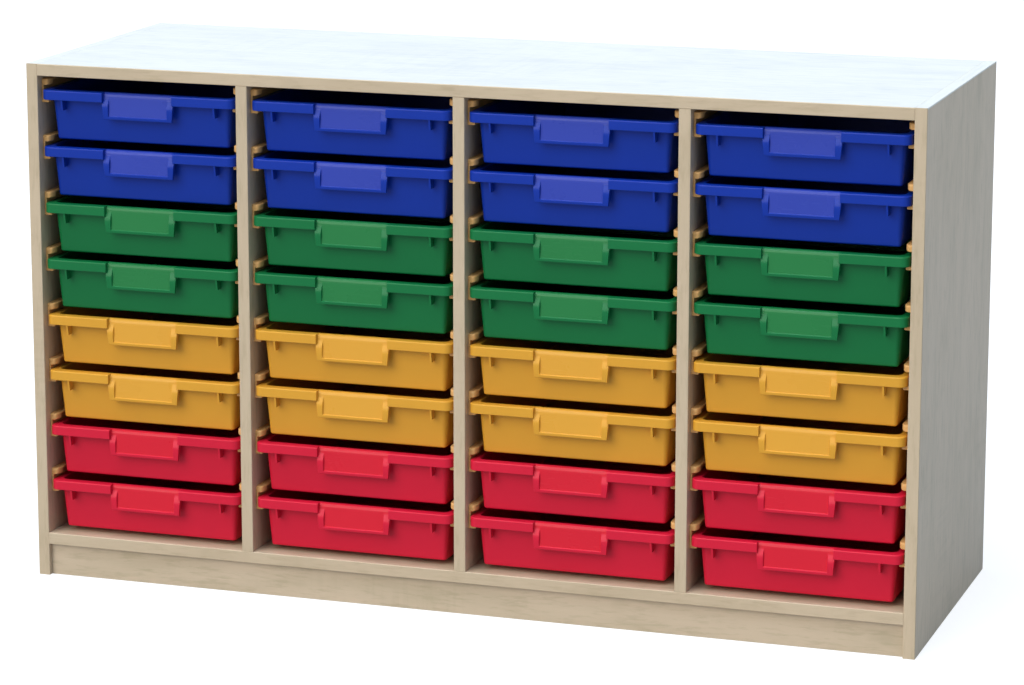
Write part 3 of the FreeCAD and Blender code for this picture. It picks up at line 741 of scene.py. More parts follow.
def shader_group(name: str, inputs: dict[str, str]) -> tuple[bpy.types.NodeTree, Wiring]:
    """Start a shader node group that puts out a colour, a roughness and a height.

    Args:
        name: Name of the group.
        inputs: Kind of each input, by name.

    Returns:
        The group, and the wiring that fills it.
    """
    tree = bpy.data.node_groups.new(name, "ShaderNodeTree")
    outputs = {"Color": "Color", "Roughness": "Float", "Height": "Float"}
    for way, sockets in (("INPUT", inputs), ("OUTPUT", outputs)):
        for key, kind in sockets.items():
            tree.interface.new_socket(key, in_out=way, socket_type=f"NodeSocket{kind}")
    return tree, Wiring(tree)


@dataclass(frozen=True)
class Layer:
    """One noise in a pattern.

    Args:
        scale: Fineness along each axis, per metre.
        detail: How many finer noises are laid over the first.
        roughness: Strength of the finer ones.
        low: The noise at which the layer starts.
        high: The noise at which it is full.
    """

    scale: Point
    detail: float = 2.0
    roughness: float = 0.5
    low: float = 0.0
    high: float = 1.0

    def noise(self, wire: Wiring, place: object) -> bpy.types.Node:
        """The node that makes the noise."""
        return wire.add("ShaderNodeTexNoise", Vector=wire.vector("MULTIPLY", place, self.scale),
                        Scale=1.0, Detail=self.detail, Roughness=self.roughness)

    def plain(self, wire: Wiring, place: object) -> bpy.types.NodeSocket:
        """The noise as it is, from 0 to 1."""
        return self.noise(wire, place).outputs["Fac"]

    def mask(self, wire: Wiring, place: object) -> bpy.types.NodeSocket:
        """The noise as a mask, 0 below its low and 1 above its high value."""
        return wire.ranged(self.plain(wire, place), self.low, self.high)


@dataclass(frozen=True)
class WoodGrain:
    """Printed wood grain along X: streaks, arches, flecks, blotches, bars, knots and fibres.

    Args:
        seed_step: How far a seed of 1 moves the pattern.
        wander: The noise that bends the grain.
        bend: How far it is bent along each axis, in metres.
        ground: Share of the dark colour under all of it.
        streak: Broad dark streaks.
        streak_share: Their strength.
        fleck: Short dark flecks.
        hill: The slow noise whose contours are the arches.
        contours: Contours from its lowest to its highest place.
        arch_width: Width of an arch, where 0.5 leaves no gap.
        arch_share: Strength of the arches.
        blotch: Soft dark spots.
        blotch_share: Their strength.
        bar: Narrow bars across the grain.
        patch: Where the bars are.
        knot_scale: Fineness of the cells with a knot in the middle of each.
        knot_core: Radius of a knot's darkest part, in cells.
        knot_edge: Radius at which it ends.
        knot_share: Strength of the knots.
        fibre: The finest lines.
        fibre_share: Their strength in the colour.
        fibre_gloss: Their strength in the roughness.
    """

    seed_step: Point = (3.7, 1.3, 2.1)
    wander: Layer = Layer((1.4, 3.0, 3.0))
    bend: Point = (0.0, 0.035, 0.035)
    ground: float = 0.5
    streak: Layer = Layer((4.5, 19.0, 19.0), 6.0, 0.62, 0.38, 0.70)
    streak_share: float = 0.7
    fleck: Layer = Layer((22.0, 150.0, 150.0), 4.0, 0.65, 0.48, 0.70)
    hill: Layer = Layer((0.7, 4.5, 4.5), 1.0, 0.4)
    contours: float = 13.0
    arch_width: float = 0.34
    arch_share: float = 0.22
    blotch: Layer = Layer((10.0, 15.0, 15.0), 3.0, 0.6, 0.54, 0.72)
    blotch_share: float = 1.3
    bar: Layer = Layer((95.0, 7.0, 7.0), 2.0, 0.5, 0.45, 0.7)
    patch: Layer = Layer((2.2, 2.6, 2.6), 2.0, 0.5, 0.5, 0.68)
    knot_scale: Point = (1.9, 5.5, 5.5)
    knot_core: float = 0.03
    knot_edge: float = 0.13
    knot_share: float = 0.55
    fibre: Layer = Layer((9.0, 420.0, 420.0), 3.0, 0.6)
    fibre_share: float = 0.22
    fibre_gloss: float = 0.10

    def places(self, wire: Wiring, vector: object,
               seed: object) -> tuple[bpy.types.NodeSocket, bpy.types.NodeSocket]:
        """Move the coordinates by the seed, then bend them.

        Args:
            wire: The group's wiring.
            vector: The coordinates.
            seed: The seed.

        Returns:
            The moved coordinates and the bent ones.
        """
        shift = wire.add("ShaderNodeCombineXYZ", **{
            axis: wire.times(seed, step) for axis, step in zip("XYZ", self.seed_step)})
        moved = wire.vector("ADD", vector, shift.outputs[0])
        wander = self.wander.noise(wire, moved).outputs["Color"]
        centred = wire.vector("SUBTRACT", wander, (0.5, 0.5, 0.5))
        return moved, wire.vector("ADD", moved, wire.vector("MULTIPLY", centred, self.bend))

    def group(self) -> bpy.types.NodeTree:
        """Build the group that every board, strip and dowel shares.

        Returns:
            The group.
        """
        tree, wire = shader_group(
            "wood_grain", {"Vector": "Vector", "Pale": "Color", "Dark": "Color", "Seed": "Float",
                           "Streaks": "Float", "Figure": "Float", "Sheen": "Float"})
        entry = wire.add("NodeGroupInput").outputs
        moved, bent = self.places(wire, entry["Vector"], entry["Seed"])
        ridges = wire.add("ShaderNodeMath", {"operation": "PINGPONG"}, i1=0.5,
                          i0=wire.times(self.hill.plain(wire, bent), self.contours))
        arches = wire.ranged(ridges.outputs[0], 0.0, self.arch_width, self.arch_share, 0.0)
        streaks = wire.times(self.streak.mask(wire, bent), self.streak_share)
        lines = wire.times(
            wire.plus(streaks, self.fleck.mask(wire, bent), arches, self.ground), entry["Streaks"])
        bars = wire.times(self.bar.mask(wire, moved), self.patch.mask(wire, moved))
        blotches = wire.times(self.blotch.mask(wire, bent), self.blotch_share)
        figure = wire.times(wire.plus(bars, blotches), entry["Figure"])
        cells = wire.add("ShaderNodeTexVoronoi", {"feature": "F1"}, Scale=1.0, Randomness=1.0,
                         Vector=wire.vector("MULTIPLY", bent, self.knot_scale))
        knots = wire.ranged(cells.outputs["Distance"], self.knot_core, self.knot_edge,
                            self.knot_share, 0.0)
        fibre = self.fibre.plain(wire, bent)
        hairs = wire.times(wire.plus(fibre, -0.5), self.fibre_share)
        factor = wire.plus(lines, figure, knots, hairs, clamp=True)
        rough = wire.plus(entry["Sheen"], wire.times(fibre, self.fibre_gloss))
        wire.add("NodeGroupOutput", Color=wire.mixed(factor, entry["Pale"], entry["Dark"]),
                 Roughness=rough, Height=fibre)
        return tree


@dataclass(frozen=True)
class MouldedSkin:
    """The skin of moulded plastic: fine texture, faint mottling and rubbed streaks.

    Args:
        detail: Detail of the fine texture.
        cloud: The mottling.
        cloud_share: How far it moves the colour, at a mottle of 1.
        cloud_gloss: How far it moves the roughness.
        rub: The rubbed streaks.
        rub_gloss: How far they raise the roughness.
    """

    detail: float = 2.0
    cloud: Layer = Layer((14.0, 14.0, 14.0), 4.0, 0.55)
    cloud_share: float = 2.0
    cloud_gloss: float = 0.16
    rub: Layer = Layer((30.0, 130.0, 260.0), 3.0, 0.6, 0.55, 0.75)
    rub_gloss: float = 0.07

    def group(self) -> bpy.types.NodeTree:
        """Build the group that every tray and runner shares.

        Returns:
            The group.
        """
        tree, wire = shader_group(
            "moulded_skin", {"Vector": "Vector", "Tint": "Color", "Texture Scale": "Float",
                             "Mottle": "Float", "Sheen": "Float"})
        entry = wire.add("NodeGroupInput").outputs
        place = entry["Vector"]
        fine = wire.add("ShaderNodeTexNoise", Vector=place, Scale=entry["Texture Scale"],
                        Detail=self.detail)
        cloud = wire.plus(self.cloud.plain(wire, place), -0.5)
        level = wire.plus(wire.times(wire.times(cloud, entry["Mottle"]), self.cloud_share), 1.0)
        color = wire.add("ShaderNodeVectorMath", {"operation": "SCALE"}, i0=entry["Tint"],
                         i3=level)
        rough = wire.plus(entry["Sheen"], wire.times(cloud, self.cloud_gloss),
                         wire.times(self.rub.mask(wire, place), self.rub_gloss))
        wire.add("NodeGroupOutput", Color=color.outputs[0], Roughness=rough,
                 Height=fine.outputs["Fac"])
        return tree


def new_material(name: str) -> tuple[bpy.types.Material, Wiring, bpy.types.NodeSocket]:
    """Start a material.

    Args:
        name: Its name.

    Returns:
        The material, its wiring and the object coordinates.
    """
    material = bpy.data.materials.new(name)
    material.use_nodes = True
    wire = Wiring(material.node_tree)
    return material, wire, wire.add("ShaderNodeTexCoord").outputs["Object"]


@dataclass(frozen=True)
class BoardFinish:
    """Wood-effect facing on a board, an edging strip or a dowel.

    Args:
        name: Name of the material.
        pale: Main colour.
        dark: Colour of the darkest grain.
        along: The way the grain runs.
        seed: Picks another part of the pattern.
        streaks: Strength of the streaks, from 0 to 1.
        figure: Strength of the bars across the grain.
        sheen: Lowest roughness.
        relief: Depth of the fibres, in metres.
        bump: Strength of the relief.
    """

    name: str
    pale: Colour
    dark: Colour
    along: Axis
    seed: float = 0.0
    streaks: float = 0.5
    figure: float = 0.2
    sheen: float = 0.34
    relief: float = 0.02 * MM
    bump: float = 0.5

    def material(self, grain: bpy.types.NodeTree) -> bpy.types.Material:
        """Build the material around the shared grain group.

        Args:
            grain: The shared wood group.

        Returns:
            The material.
        """
        material, wire, place = new_material(self.name)
        turned = wire.add("ShaderNodeMapping", Vector=place,
                          Rotation=self.along.value).outputs[0]
        group = wire.add("ShaderNodeGroup", {"node_tree": grain}, Vector=turned,
                         Pale=(*self.pale, 1.0), Dark=(*self.dark, 1.0), Seed=self.seed,
                         Streaks=self.streaks, Figure=self.figure, Sheen=self.sheen)
        wire.surface(*group.outputs, self.bump, self.relief, IOR=REFRACTION)
        return material


@dataclass(frozen=True)
class MouldedFinish:
    """Satin moulded plastic.

    Args:
        name: Name of the material.
        tint: Colour of the plastic.
        sheen: Lowest roughness.
        texture: Fineness of the skin's texture, per metre.
        relief: Depth of the texture, in metres.
        mottle: Strength of the faint clouds in the colour.
        specular: Level of the reflection, where 0.5 is that of clear plastic.
        bump: Strength of the relief.
    """

    name: str
    tint: Colour
    sheen: float = 0.34
    texture: float = 1500.0
    relief: float = 0.02 * MM
    mottle: float = 0.05
    specular: float = 0.19
    bump: float = 0.4

    def material(self, moulding: bpy.types.NodeTree) -> bpy.types.Material:
        """Build the material around the shared moulding group.

        Args:
            moulding: The shared plastic group.

        Returns:
            The material.
        """
        material, wire, place = new_material(self.name)
        group = wire.add("ShaderNodeGroup", {"node_tree": moulding}, Vector=place,
                         Tint=(*self.tint, 1.0), Texture_Scale=self.texture,
                         Mottle=self.mottle, Sheen=self.sheen)
        wire.surface(*group.outputs, self.bump, self.relief, IOR=REFRACTION,
                     Specular_IOR_Level=self.specular)
        return material


@dataclass(frozen=True)
class PlatedFinish:
    """Zinc-plated steel, with the fine turning marks of a screw head.

    Args:
        name: Name of the material.
        tint: Colour of the zinc.
        dulled: Its colour in the clouds, as a share of the tint.
        sheen: Lowest roughness.
        marks: The turning marks.
        mark_gloss: How far they raise the roughness.
        clouds: Where the zinc is dull.
        relief: Depth of the marks, in metres.
        bump: Strength of the relief.
    """

    name: str
    tint: Colour
    dulled: float = 0.8
    sheen: float = 0.28
    marks: Layer = Layer((2600.0, 2600.0, 2600.0), 3.0, 0.6)
    mark_gloss: float = 0.2
    clouds: Layer = Layer((300.0, 300.0, 300.0), 2.0, 0.5, 0.35, 0.7)
    relief: float = 0.02 * MM
    bump: float = 0.3

    def material(self) -> bpy.types.Material:
        """Build the material.

        Returns:
            The material.
        """
        material, wire, place = new_material(self.name)
        marks = self.marks.plain(wire, place)
        color = wire.mixed(self.clouds.mask(wire, place), (*self.tint, 1.0),
                           (*[self.dulled * part for part in self.tint], 1.0))
        rough = wire.plus(wire.times(marks, self.mark_gloss), self.sheen)
        wire.surface(color, rough, marks, self.bump, self.relief, Metallic=1.0)
        return material


def repeat_tree() -> bpy.types.NodeTree:
    """Geometry nodes that copy a mesh along two steps and give it its finish.

    Returns:
        The node tree.
    """
    tree = bpy.data.node_groups.new("repeat_on_grid", "GeometryNodeTree")
    sockets = tree.interface
    sockets.new_socket("Geometry", in_out="INPUT", socket_type="NodeSocketGeometry")
    for name in ("Columns", "Rows"):
        sockets.new_socket(name, in_out="INPUT", socket_type="NodeSocketInt").default_value = 1
    for name in ("Column Step", "Row Step"):
        sockets.new_socket(name, in_out="INPUT", socket_type="NodeSocketVector")
    sockets.new_socket("Finish", in_out="INPUT", socket_type="NodeSocketMaterial")
    sockets.new_socket("Geometry", in_out="OUTPUT", socket_type="NodeSocketGeometry")
    wire = Wiring(tree)
    entry = wire.add("NodeGroupInput").outputs
    shape = entry["Geometry"]
    for count, step in (("Columns", "Column Step"), ("Rows", "Row Step")):
        line = wire.add("GeometryNodeMeshLine", {"mode": "OFFSET"}, Count=entry[count],
                        Offset=entry[step])
        shape = wire.add("GeometryNodeInstanceOnPoints", Points=line.outputs[0],
                         Instance=shape).outputs[0]
    solid = wire.add("GeometryNodeRealizeInstances", Geometry=shape).outputs[0]
    painted = wire.add("GeometryNodeSetMaterial", Geometry=solid, Material=entry["Finish"])
    wire.add("NodeGroupOutput", Geometry=painted.outputs[0])
    return tree


@dataclass(frozen=True)
class Grid:
    """Copies of one mesh, made by the shared geometry nodes.

    Args:
        columns: Copies along the first step.
        column_step: The first step.
        rows: Copies along the second step.
        row_step: The second step.
    """

    columns: int = 1
    column_step: Point = (0.0, 0.0, 0.0)
    rows: int = 1
    row_step: Point = (0.0, 0.0, 0.0)

    def spread(self, obj: bpy.types.Object, tree: bpy.types.NodeTree,
               finish: bpy.types.Material) -> bpy.types.Object:
        """Repeat an object's mesh and turn the result into a plain mesh.

        Args:
            obj: The object to repeat.
            tree: The shared geometry nodes.
            finish: The material of every copy.

        Returns:
            The same object.
        """
        values = {"Columns": self.columns, "Column Step": self.column_step, "Rows": self.rows,
                  "Row Step": self.row_step, "Finish": finish}
        modifier = obj.modifiers.new("repeat", "NODES")
        modifier.node_group = tree
        for item in tree.interface.items_tree:
            if item.item_type == "SOCKET" and item.in_out == "INPUT" and item.name in values:
                modifier[item.identifier] = values[item.name]
        obj.update_tag()
        return baked(obj)


# ---------------------------------------------------------------- the unit's pieces


def seat(obj: bpy.types.Object, body: str, slot: str, *nodes: str) -> bpy.types.Object:
    """Hand a finished piece over to the frame.

    Args:
        obj: The piece, in place.
        body: The body that it rides on.
        slot: The record's material slot, which is not used.
        *nodes: The solids that it stands for.

    Returns:
        The same object.
    """
    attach(obj, body)
    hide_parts(*nodes)
    log.info("%s rides on %s and stands for %s", obj.name, body, ", ".join(nodes))
    return obj


@dataclass
class Trays:
    """All the trays, one for each row of each bay, and their body and label colours, where the
    label's paler blue and green are partly painted light.
    """

    shape: TrayShape
    # Body colour, then label plate colour: the plastic's own colour, with the blue and green
    # labels painted paler as painted light for the extra light and sheen that the tilted plate
    # catches
    blue: tuple[Colour, Colour] = ((0.0035, 0.030, 0.305), (0.029, 0.051, 0.345))
    green: tuple[Colour, Colour] = ((0.005, 0.150, 0.041), (0.016, 0.172, 0.045))
    yellow: tuple[Colour, Colour] = ((0.69, 0.325, 0.032), (0.70, 0.328, 0.037))
    red: tuple[Colour, Colour] = ((0.635, 0.011, 0.037), (0.625, 0.012, 0.028))

    def finishes(self, moulding: bpy.types.NodeTree) -> dict[Row, list[bpy.types.Material]]:
        """The textured finish of the body and the smooth one of the label.

        Args:
            moulding: The shared plastic group.

        Returns:
            Both finishes, by colour.
        """
        tints = {Row.BLUE: self.blue, Row.GREEN: self.green, Row.YELLOW: self.yellow,
                 Row.RED: self.red}
        return {row: [MouldedFinish(row.slot, body).material(moulding),
                      MouldedFinish(f"{row.slot}_label", label, sheen=0.28, relief=0.004 * MM,
                                    mottle=0.03).material(moulding)]
                for row, (body, label) in tints.items()}

    def tray(self, master: bpy.types.Mesh, bay: int, row: int, slot: str,
             materials: list[bpy.types.Material]) -> bpy.types.Object:
        """Put one tray in its place.

        Args:
            master: The mesh that every tray copies.
            bay: Number of its bay, from the left.
            row: Number of its row, from the top.
            slot: The record's material slot.
            materials: The finishes of its body and its label plate.

        Returns:
            The tray.
        """
        node = f"tray_bay{bay}_row{row}"
        low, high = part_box(node)
        mesh = master.copy()
        mesh.transform(Matrix.Translation(((low.x + high.x) / 2, high.y - self.shape.length,
                                           high.z)))
        for material in materials:
            mesh.materials.append(material)
        return seat(linked(f"{node}_moulding", mesh), node, slot, node)

    def build(self, moulding: bpy.types.NodeTree) -> list[bpy.types.Object]:
        """Build every tray in its place.

        Args:
            moulding: The shared plastic group.

        Returns:
            The trays.
        """
        master = self.shape.dressed(self.shape.mesh())
        return [self.tray(master, bay, row, colour.slot, materials)
                for colour, materials in self.finishes(moulding).items()
                for row in colour.value for bay in range(1, BAYS + 1)]


@dataclass
class Runners:
    """The channel runners, a column of eight on each side of each bay."""

    web: float = 3 * MM
    flange: float = 3.2 * MM
    shelf: float = 11 * MM
    hood: float = 12.5 * MM
    height: float = 33.6 * MM
    nose_height: float = 9.5 * MM
    nose_length: float = 12.5 * MM
    nose_sweep: float = 5.5 * MM
    nose_fall: float = 3 * MM
    nose_round: float = 2 * MM
    nose_gap: float = 0.4 * MM
    foot: float = 2 * MM
    inside_round: float = 1.3 * MM
    edge_round: float = 1.2 * MM
    end_round: float = 0.6 * MM
    cream: Colour = (0.69, 0.375, 0.132)

    def section(self, side: Side, drop: float, corner: float, shrink: float, y: float,
                sweep: float = 0.0, fall: float = 0.0) -> list[Vector]:
        """The channel's section at one place along its length.

        Args:
            side: The side of the bay that it is on.
            drop: Height of the hood or of the block at its front.
            corner: Radius of the hood's inner corner.
            shrink: How far the section is drawn in, for a rounded end.
            y: The place.
            sweep: How far the hood's side is swept back towards the web there.
            fall: How far the hood's top lies below the full height there.

        Returns:
            Points around the section.
        """
        r, e, s, web = self.inside_round, self.edge_round, shrink, self.web
        under, top, hood = self.height - drop, self.height - fall, self.hood - sweep
        small = min(r, under - self.flange - r, hood - corner - web)
        line = [(s, s - self.foot)]
        line += arc((self.shelf - e - s, e + s - self.foot), e, -90, 0, 3)
        line += arc((self.shelf - e - s, self.flange - e - s), e, 0, 90, 3)
        line += arc((web + r - s, self.flange + r - s), r, 270, 180, 4)
        line += arc((web + small - s, under - small + s), small, 180, 90, 4)
        line += arc((hood - corner - s, under + corner + s), corner, -90, 0, 5)
        line += arc((hood - e - s, top - e - s), e, 0, 90, 3)
        line += [(s, top - s)]
        return [Vector((side.value * x, y, z)) for x, z in line]

    def nose(self, side: Side) -> list[list[Vector]]:
        """The sections of the nose, whose side sweeps round and whose top is rolled over.

        Args:
            side: The side of the bay that it is on.

        Returns:
            The sections, from the front.
        """
        rings = []
        for angle in range(0, 91, 15):
            turn = math.radians(angle)
            y = self.nose_length * (1 - math.cos(turn))
            rings.append(self.section(
                side, self.nose_height, self.nose_round, rounded_off(y, self.end_round), y,
                self.nose_sweep * (1 - math.sin(turn)), rounded_off(y, self.nose_fall)))
        return rings

    def runner(self, name: str, side: Side, length: float) -> bpy.types.Object:
        """One runner, its front at Y = 0 and its underside at Z = 0.

        Args:
            name: Name of the object.
            side: The side of the bay that it is on.
            length: Its length.

        Returns:
            The runner.
        """
        hood = (self.flange, self.edge_round)
        rings = self.nose(side)
        rings += [self.section(side, *hood, 0.0, self.nose_length + self.nose_gap)]
        rings += [self.section(side, *hood, rounded_off(y, self.end_round), length - y)
                  for y in reversed(edge_steps(self.end_round))]
        return skinned(name, rings)

    def build(self, moulding: bpy.types.NodeTree,
              repeat: bpy.types.NodeTree) -> list[bpy.types.Object]:
        """Build the columns of runners in their places.

        Args:
            moulding: The shared plastic group.
            repeat: The shared geometry nodes.

        Returns:
            The columns.
        """
        finish = MouldedFinish("runner", self.cream, sheen=0.36).material(moulding)
        made = []
        for bay in range(1, BAYS + 1):
            for side in Side:
                node = side.runners(bay)
                low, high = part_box(node)
                pitch = (high.z - low.z - self.height) / (ROWS - 1)
                column = self.runner(f"{node}_column", side, high.y - low.y)
                column.data.transform(Matrix.Translation((side.wall(bay), low.y, low.z)))
                Grid(rows=ROWS, row_step=(0.0, 0.0, pitch)).spread(column, repeat, finish)
                made.append(seat(smoothed(column), CABINET, "runner", node))
        return made


@dataclass(frozen=True)
class Screw:
    """A screw with a cross recess.

    Args:
        shank: Radius of its shank.
        head: Radius of its head.
        height: Height of its head.
        grip: Length under its head.
        sides: Sides of its head, eight or sixteen.
        tip: Radius of its tip, as a share of the shank's.
        taper: Length of its point, as a share of the shank's radius.
        crown: Radius of the head's flat top, as a share of the head's.
        arm: Reach of the recess's arms, as a share of the head's radius.
        waist: Reach of the recess between its arms.
        bottom: Size of the recess's bottom, as a share of its top.
        heights: Heights of the head's straight rim, of its flat top's edge and of the
            recess's bottom, as shares of the head's.
    """

    shank: float
    head: float
    height: float
    grip: float
    sides: int
    tip: float = 0.3
    taper: float = 2.0
    crown: float = 0.8
    arm: float = 0.50
    waist: float = 0.20
    bottom: float = 0.6
    heights: Point = (0.45, 0.9, 0.25)

    def add(self, bm: bmesh.types.BMesh, place: Matrix) -> None:
        """Add the screw, which points down -Z with the underside of its head on Z = 0.

        Args:
            bm: The bmesh to add to.
            place: The matrix that puts the screw in its place.
        """
        quarter = self.sides // 4
        star = [self.head * (self.waist if i % quarter == quarter // 2 else self.arm)
                for i in range(self.sides)]
        rim, shoulder, floor = [share * self.height for share in self.heights]
        rounds = [(self.tip * self.shank, -self.grip),
                  (self.shank, self.taper * self.shank - self.grip), (self.shank, 0.0),
                  (self.head, 0.0), (self.head, rim), (self.crown * self.head, shoulder)]
        levels = [([radius] * self.sides, z) for radius, z in rounds]
        levels += [(star, self.height), ([self.bottom * reach for reach in star], floor)]
        turns = [2 * math.pi * i / self.sides for i in range(self.sides)]
        skin(bm, [[place @ Vector((radius * math.cos(turn), radius * math.sin(turn), z))
                   for radius, turn in zip(radii, turns)] for radii, z in levels])


@dataclass
class Screws:
    """Screws with a cross recess: three in each runner, and those of the back panel."""

    runner_screw: Screw = Screw(2.5 * MM, 4 * MM, 1.6 * MM, 9 * MM, 8)
    runner_columns: int = 3
    runner_web: float = 3 * MM
    back_screw: Screw = Screw(1.75 * MM, 3.75 * MM, 1.8 * MM, 25 * MM, 16)
    back_rows: int = 5
    zinc: Colour = (0.62, 0.62, 0.64)

    def in_runners(self) -> tuple[bmesh.types.BMesh, Grid]:
        """The lowest front screw of each column of runners, and how it is repeated.

        Returns:
            The screws and their grid.
        """
        screw = self.runner_screw
        low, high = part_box("runner_screws")
        bm = bmesh.new()
        for bay in range(1, BAYS + 1):
            for side in Side:
                x = side.wall(bay) + side.value * (self.runner_web - screw.height)
                place = Matrix.Translation((x, low.y + screw.head, low.z + screw.head))
                screw.add(bm, place @ Matrix.Rotation(side.value * math.pi / 2, 4, "Y"))
        spacing = (high.y - low.y - 2 * screw.head) / (self.runner_columns - 1)
        pitch = (high.z - low.z - 2 * screw.head) / (ROWS - 1)
        return bm, Grid(self.runner_columns, (0.0, spacing, 0.0), ROWS, (0.0, 0.0, pitch))

    def in_back(self) -> tuple[bmesh.types.BMesh, Grid]:
        """The lowest left screw of the back panel, and how it is repeated.

        Returns:
            The screw and its grid.
        """
        screw = self.back_screw
        low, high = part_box("back_panel_screws")
        bm = bmesh.new()
        place = Matrix.Translation((low.x + screw.head, high.y - screw.height,
                                    low.z + screw.head))
        screw.add(bm, place @ Matrix.Rotation(-math.pi / 2, 4, "X"))
        across = (high.x - low.x - 2 * screw.head) / (BAYS - 2)
        rise = (high.z - low.z - 2 * screw.head) / (self.back_rows - 1)
        return bm, Grid(BAYS - 1, (across, 0.0, 0.0), self.back_rows, (0.0, 0.0, rise))

    def build(self, repeat: bpy.types.NodeTree) -> list[bpy.types.Object]:
        """Build both sets of screws.

        Args:
            repeat: The shared geometry nodes.

        Returns:
            The two sets.
        """
        finish = PlatedFinish("screw", self.zinc).material()
        made = []
        for name, node, (bm, grid) in (
                ("runner_screw_set", "runner_screws", self.in_runners()),
                ("back_screw_set", "back_panel_screws", self.in_back())):
            screws = grid.spread(from_bmesh(name, bm), repeat, finish)
            made.append(seat(smoothed(screws), CABINET, "screw", node))
        return made


@dataclass
class Carcass:
    """The faced boards, their edging, the back panel and the dowels."""

    edge_round: float = 0.4 * MM
    strip_round: float = 1.2 * MM
    merge: float = 0.005 * MM
    flat: float = math.radians(0.5)
    board_pale: Colour = (0.635, 0.485, 0.338)
    board_dark: Colour = (0.463, 0.361, 0.230)
    # Painted light: paler, cooler colours for upward faces, standing in for the bright light and
    # sky reflection that fall on the top
    sky_lit_pale: Colour = (0.715, 0.705, 0.635)
    sky_lit_dark: Colour = (0.57, 0.58, 0.57)
    strip_pale: Colour = (0.595, 0.455, 0.305)
    strip_dark: Colour = (0.445, 0.337, 0.21)
    strip_streaks: float = 0.4
    strip_seed: int = 20
    beech_pale: Colour = (0.60, 0.42, 0.24)
    beech_dark: Colour = (0.42, 0.26, 0.13)

    def boards(self) -> dict[str, Axis]:
        """Every board that shows, and the way its grain runs.

        Returns:
            The way of the grain, by node.
        """
        upright = ["left_side_panel", "right_side_panel", "back_panel"]
        upright += [f"divider_{bay}" for bay in range(1, BAYS)]
        level = ["top_panel", "bottom_panel", "front_plinth", "rear_plinth"]
        return {**{node: Axis.Z for node in upright}, **{node: Axis.X for node in level}}

    def softened(self, node: str) -> bpy.types.Object:
        """A copy of a board whose twelve outer edges are very slightly rounded.

        Args:
            node: The board's solid.

        Returns:
            The copy.
        """
        low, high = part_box(node)
        bm = bmesh.new()
        bm.from_mesh(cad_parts[node].data)
        bmesh.ops.remove_doubles(bm, verts=bm.verts, dist=self.merge)
        bmesh.ops.dissolve_limit(bm, angle_limit=self.flat, verts=bm.verts, edges=bm.edges)

        def sides(vert: bmesh.types.BMVert) -> set[tuple[int, int]]:
            """The faces of the board's box that a point lies on."""
            return {(axis, end) for axis in range(3) for end, corner in enumerate((low, high))
                    if abs(vert.co[axis] - corner[axis]) < TOUCH}

        outer = [edge for edge in bm.edges
                 if len(sides(edge.verts[0]) & sides(edge.verts[1])) >= 2]
        bmesh.ops.bevel(bm, geom=outer, offset=self.edge_round, segments=2, affect="EDGES",
                        profile=0.5, clamp_overlap=True)
        mesh = bpy.data.meshes.new(node)
        bm.to_mesh(mesh)
        bm.free()
        return linked(f"{node}_faced", mesh)

    def strip(self, bm: bmesh.types.BMesh, low: Point, high: Point, along: Axis,
              face: tuple[Axis, float], finish: int = 0) -> None:
        """Add an edging strip, rounded along the two edges that show.

        Args:
            bm: The bmesh to add to.
            low: Lowest corner.
            high: Highest corner.
            along: The axis that the strip runs along.
            face: Axis and place of the strip's outer face.
            finish: Number of the strip's material.
        """
        others = set(bm.faces)
        size = Vector(high) - Vector(low)
        place = (Matrix.Translation((Vector(low) + Vector(high)) / 2)
                 @ Matrix.Diagonal((*size, 1.0)))
        verts = bmesh.ops.create_cube(bm, size=1.0, matrix=place)["verts"]
        run, across, level = along.number, face[0].number, face[1]
        edges = [edge for edge in dict.fromkeys(e for v in verts for e in v.link_edges)
                 if all(abs(v.co[across] - level) < TOUCH for v in edge.verts)
                 and abs(edge.verts[0].co[run] - edge.verts[1].co[run]) > size[run] / 2]
        bmesh.ops.bevel(bm, geom=edges, offset=self.edge_round if finish else self.strip_round,
                        segments=4, affect="EDGES", profile=0.5)
        for added in set(bm.faces) - others:
            added.material_index = finish

    def edging(self) -> dict[str, tuple[bmesh.types.BMesh, Axis]]:
        """The edging strips of the uprights and of the level boards.

        Returns:
            Mesh and way of the grain, by node.
        """
        side_low, side_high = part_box("side_panel_edging")
        board_low, board_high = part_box("left_side_panel")
        thick = board_high.x - board_low.x
        sides, uprights, levels = bmesh.new(), bmesh.new(), bmesh.new()
        for x in (side_low.x, side_high.x - thick):
            self.strip(sides, (x, side_low.y, side_low.z), (x + thick, board_low.y, side_high.z),
                       Axis.Z, (Axis.Y, side_low.y))
            self.strip(sides, (x, board_low.y, board_high.z),
                       (x + thick, side_high.y, side_high.z), Axis.Y, (Axis.Z, side_high.z), 1)
        for bay in range(1, BAYS):
            low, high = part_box(f"divider_{bay}")
            self.strip(uprights, (low.x, side_low.y, low.z), (high.x, low.y, high.z),
                       Axis.Z, (Axis.Y, side_low.y))
        for node in ("bottom_panel", "top_panel"):
            low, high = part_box(node)
            self.strip(levels, (low.x, side_low.y, low.z), (high.x, low.y, high.z),
                       Axis.X, (Axis.Y, side_low.y))
        return {"side_panel_edging": (sides, Axis.Z), "divider_edging": (uprights, Axis.Z),
                "panel_front_edging": (levels, Axis.X)}

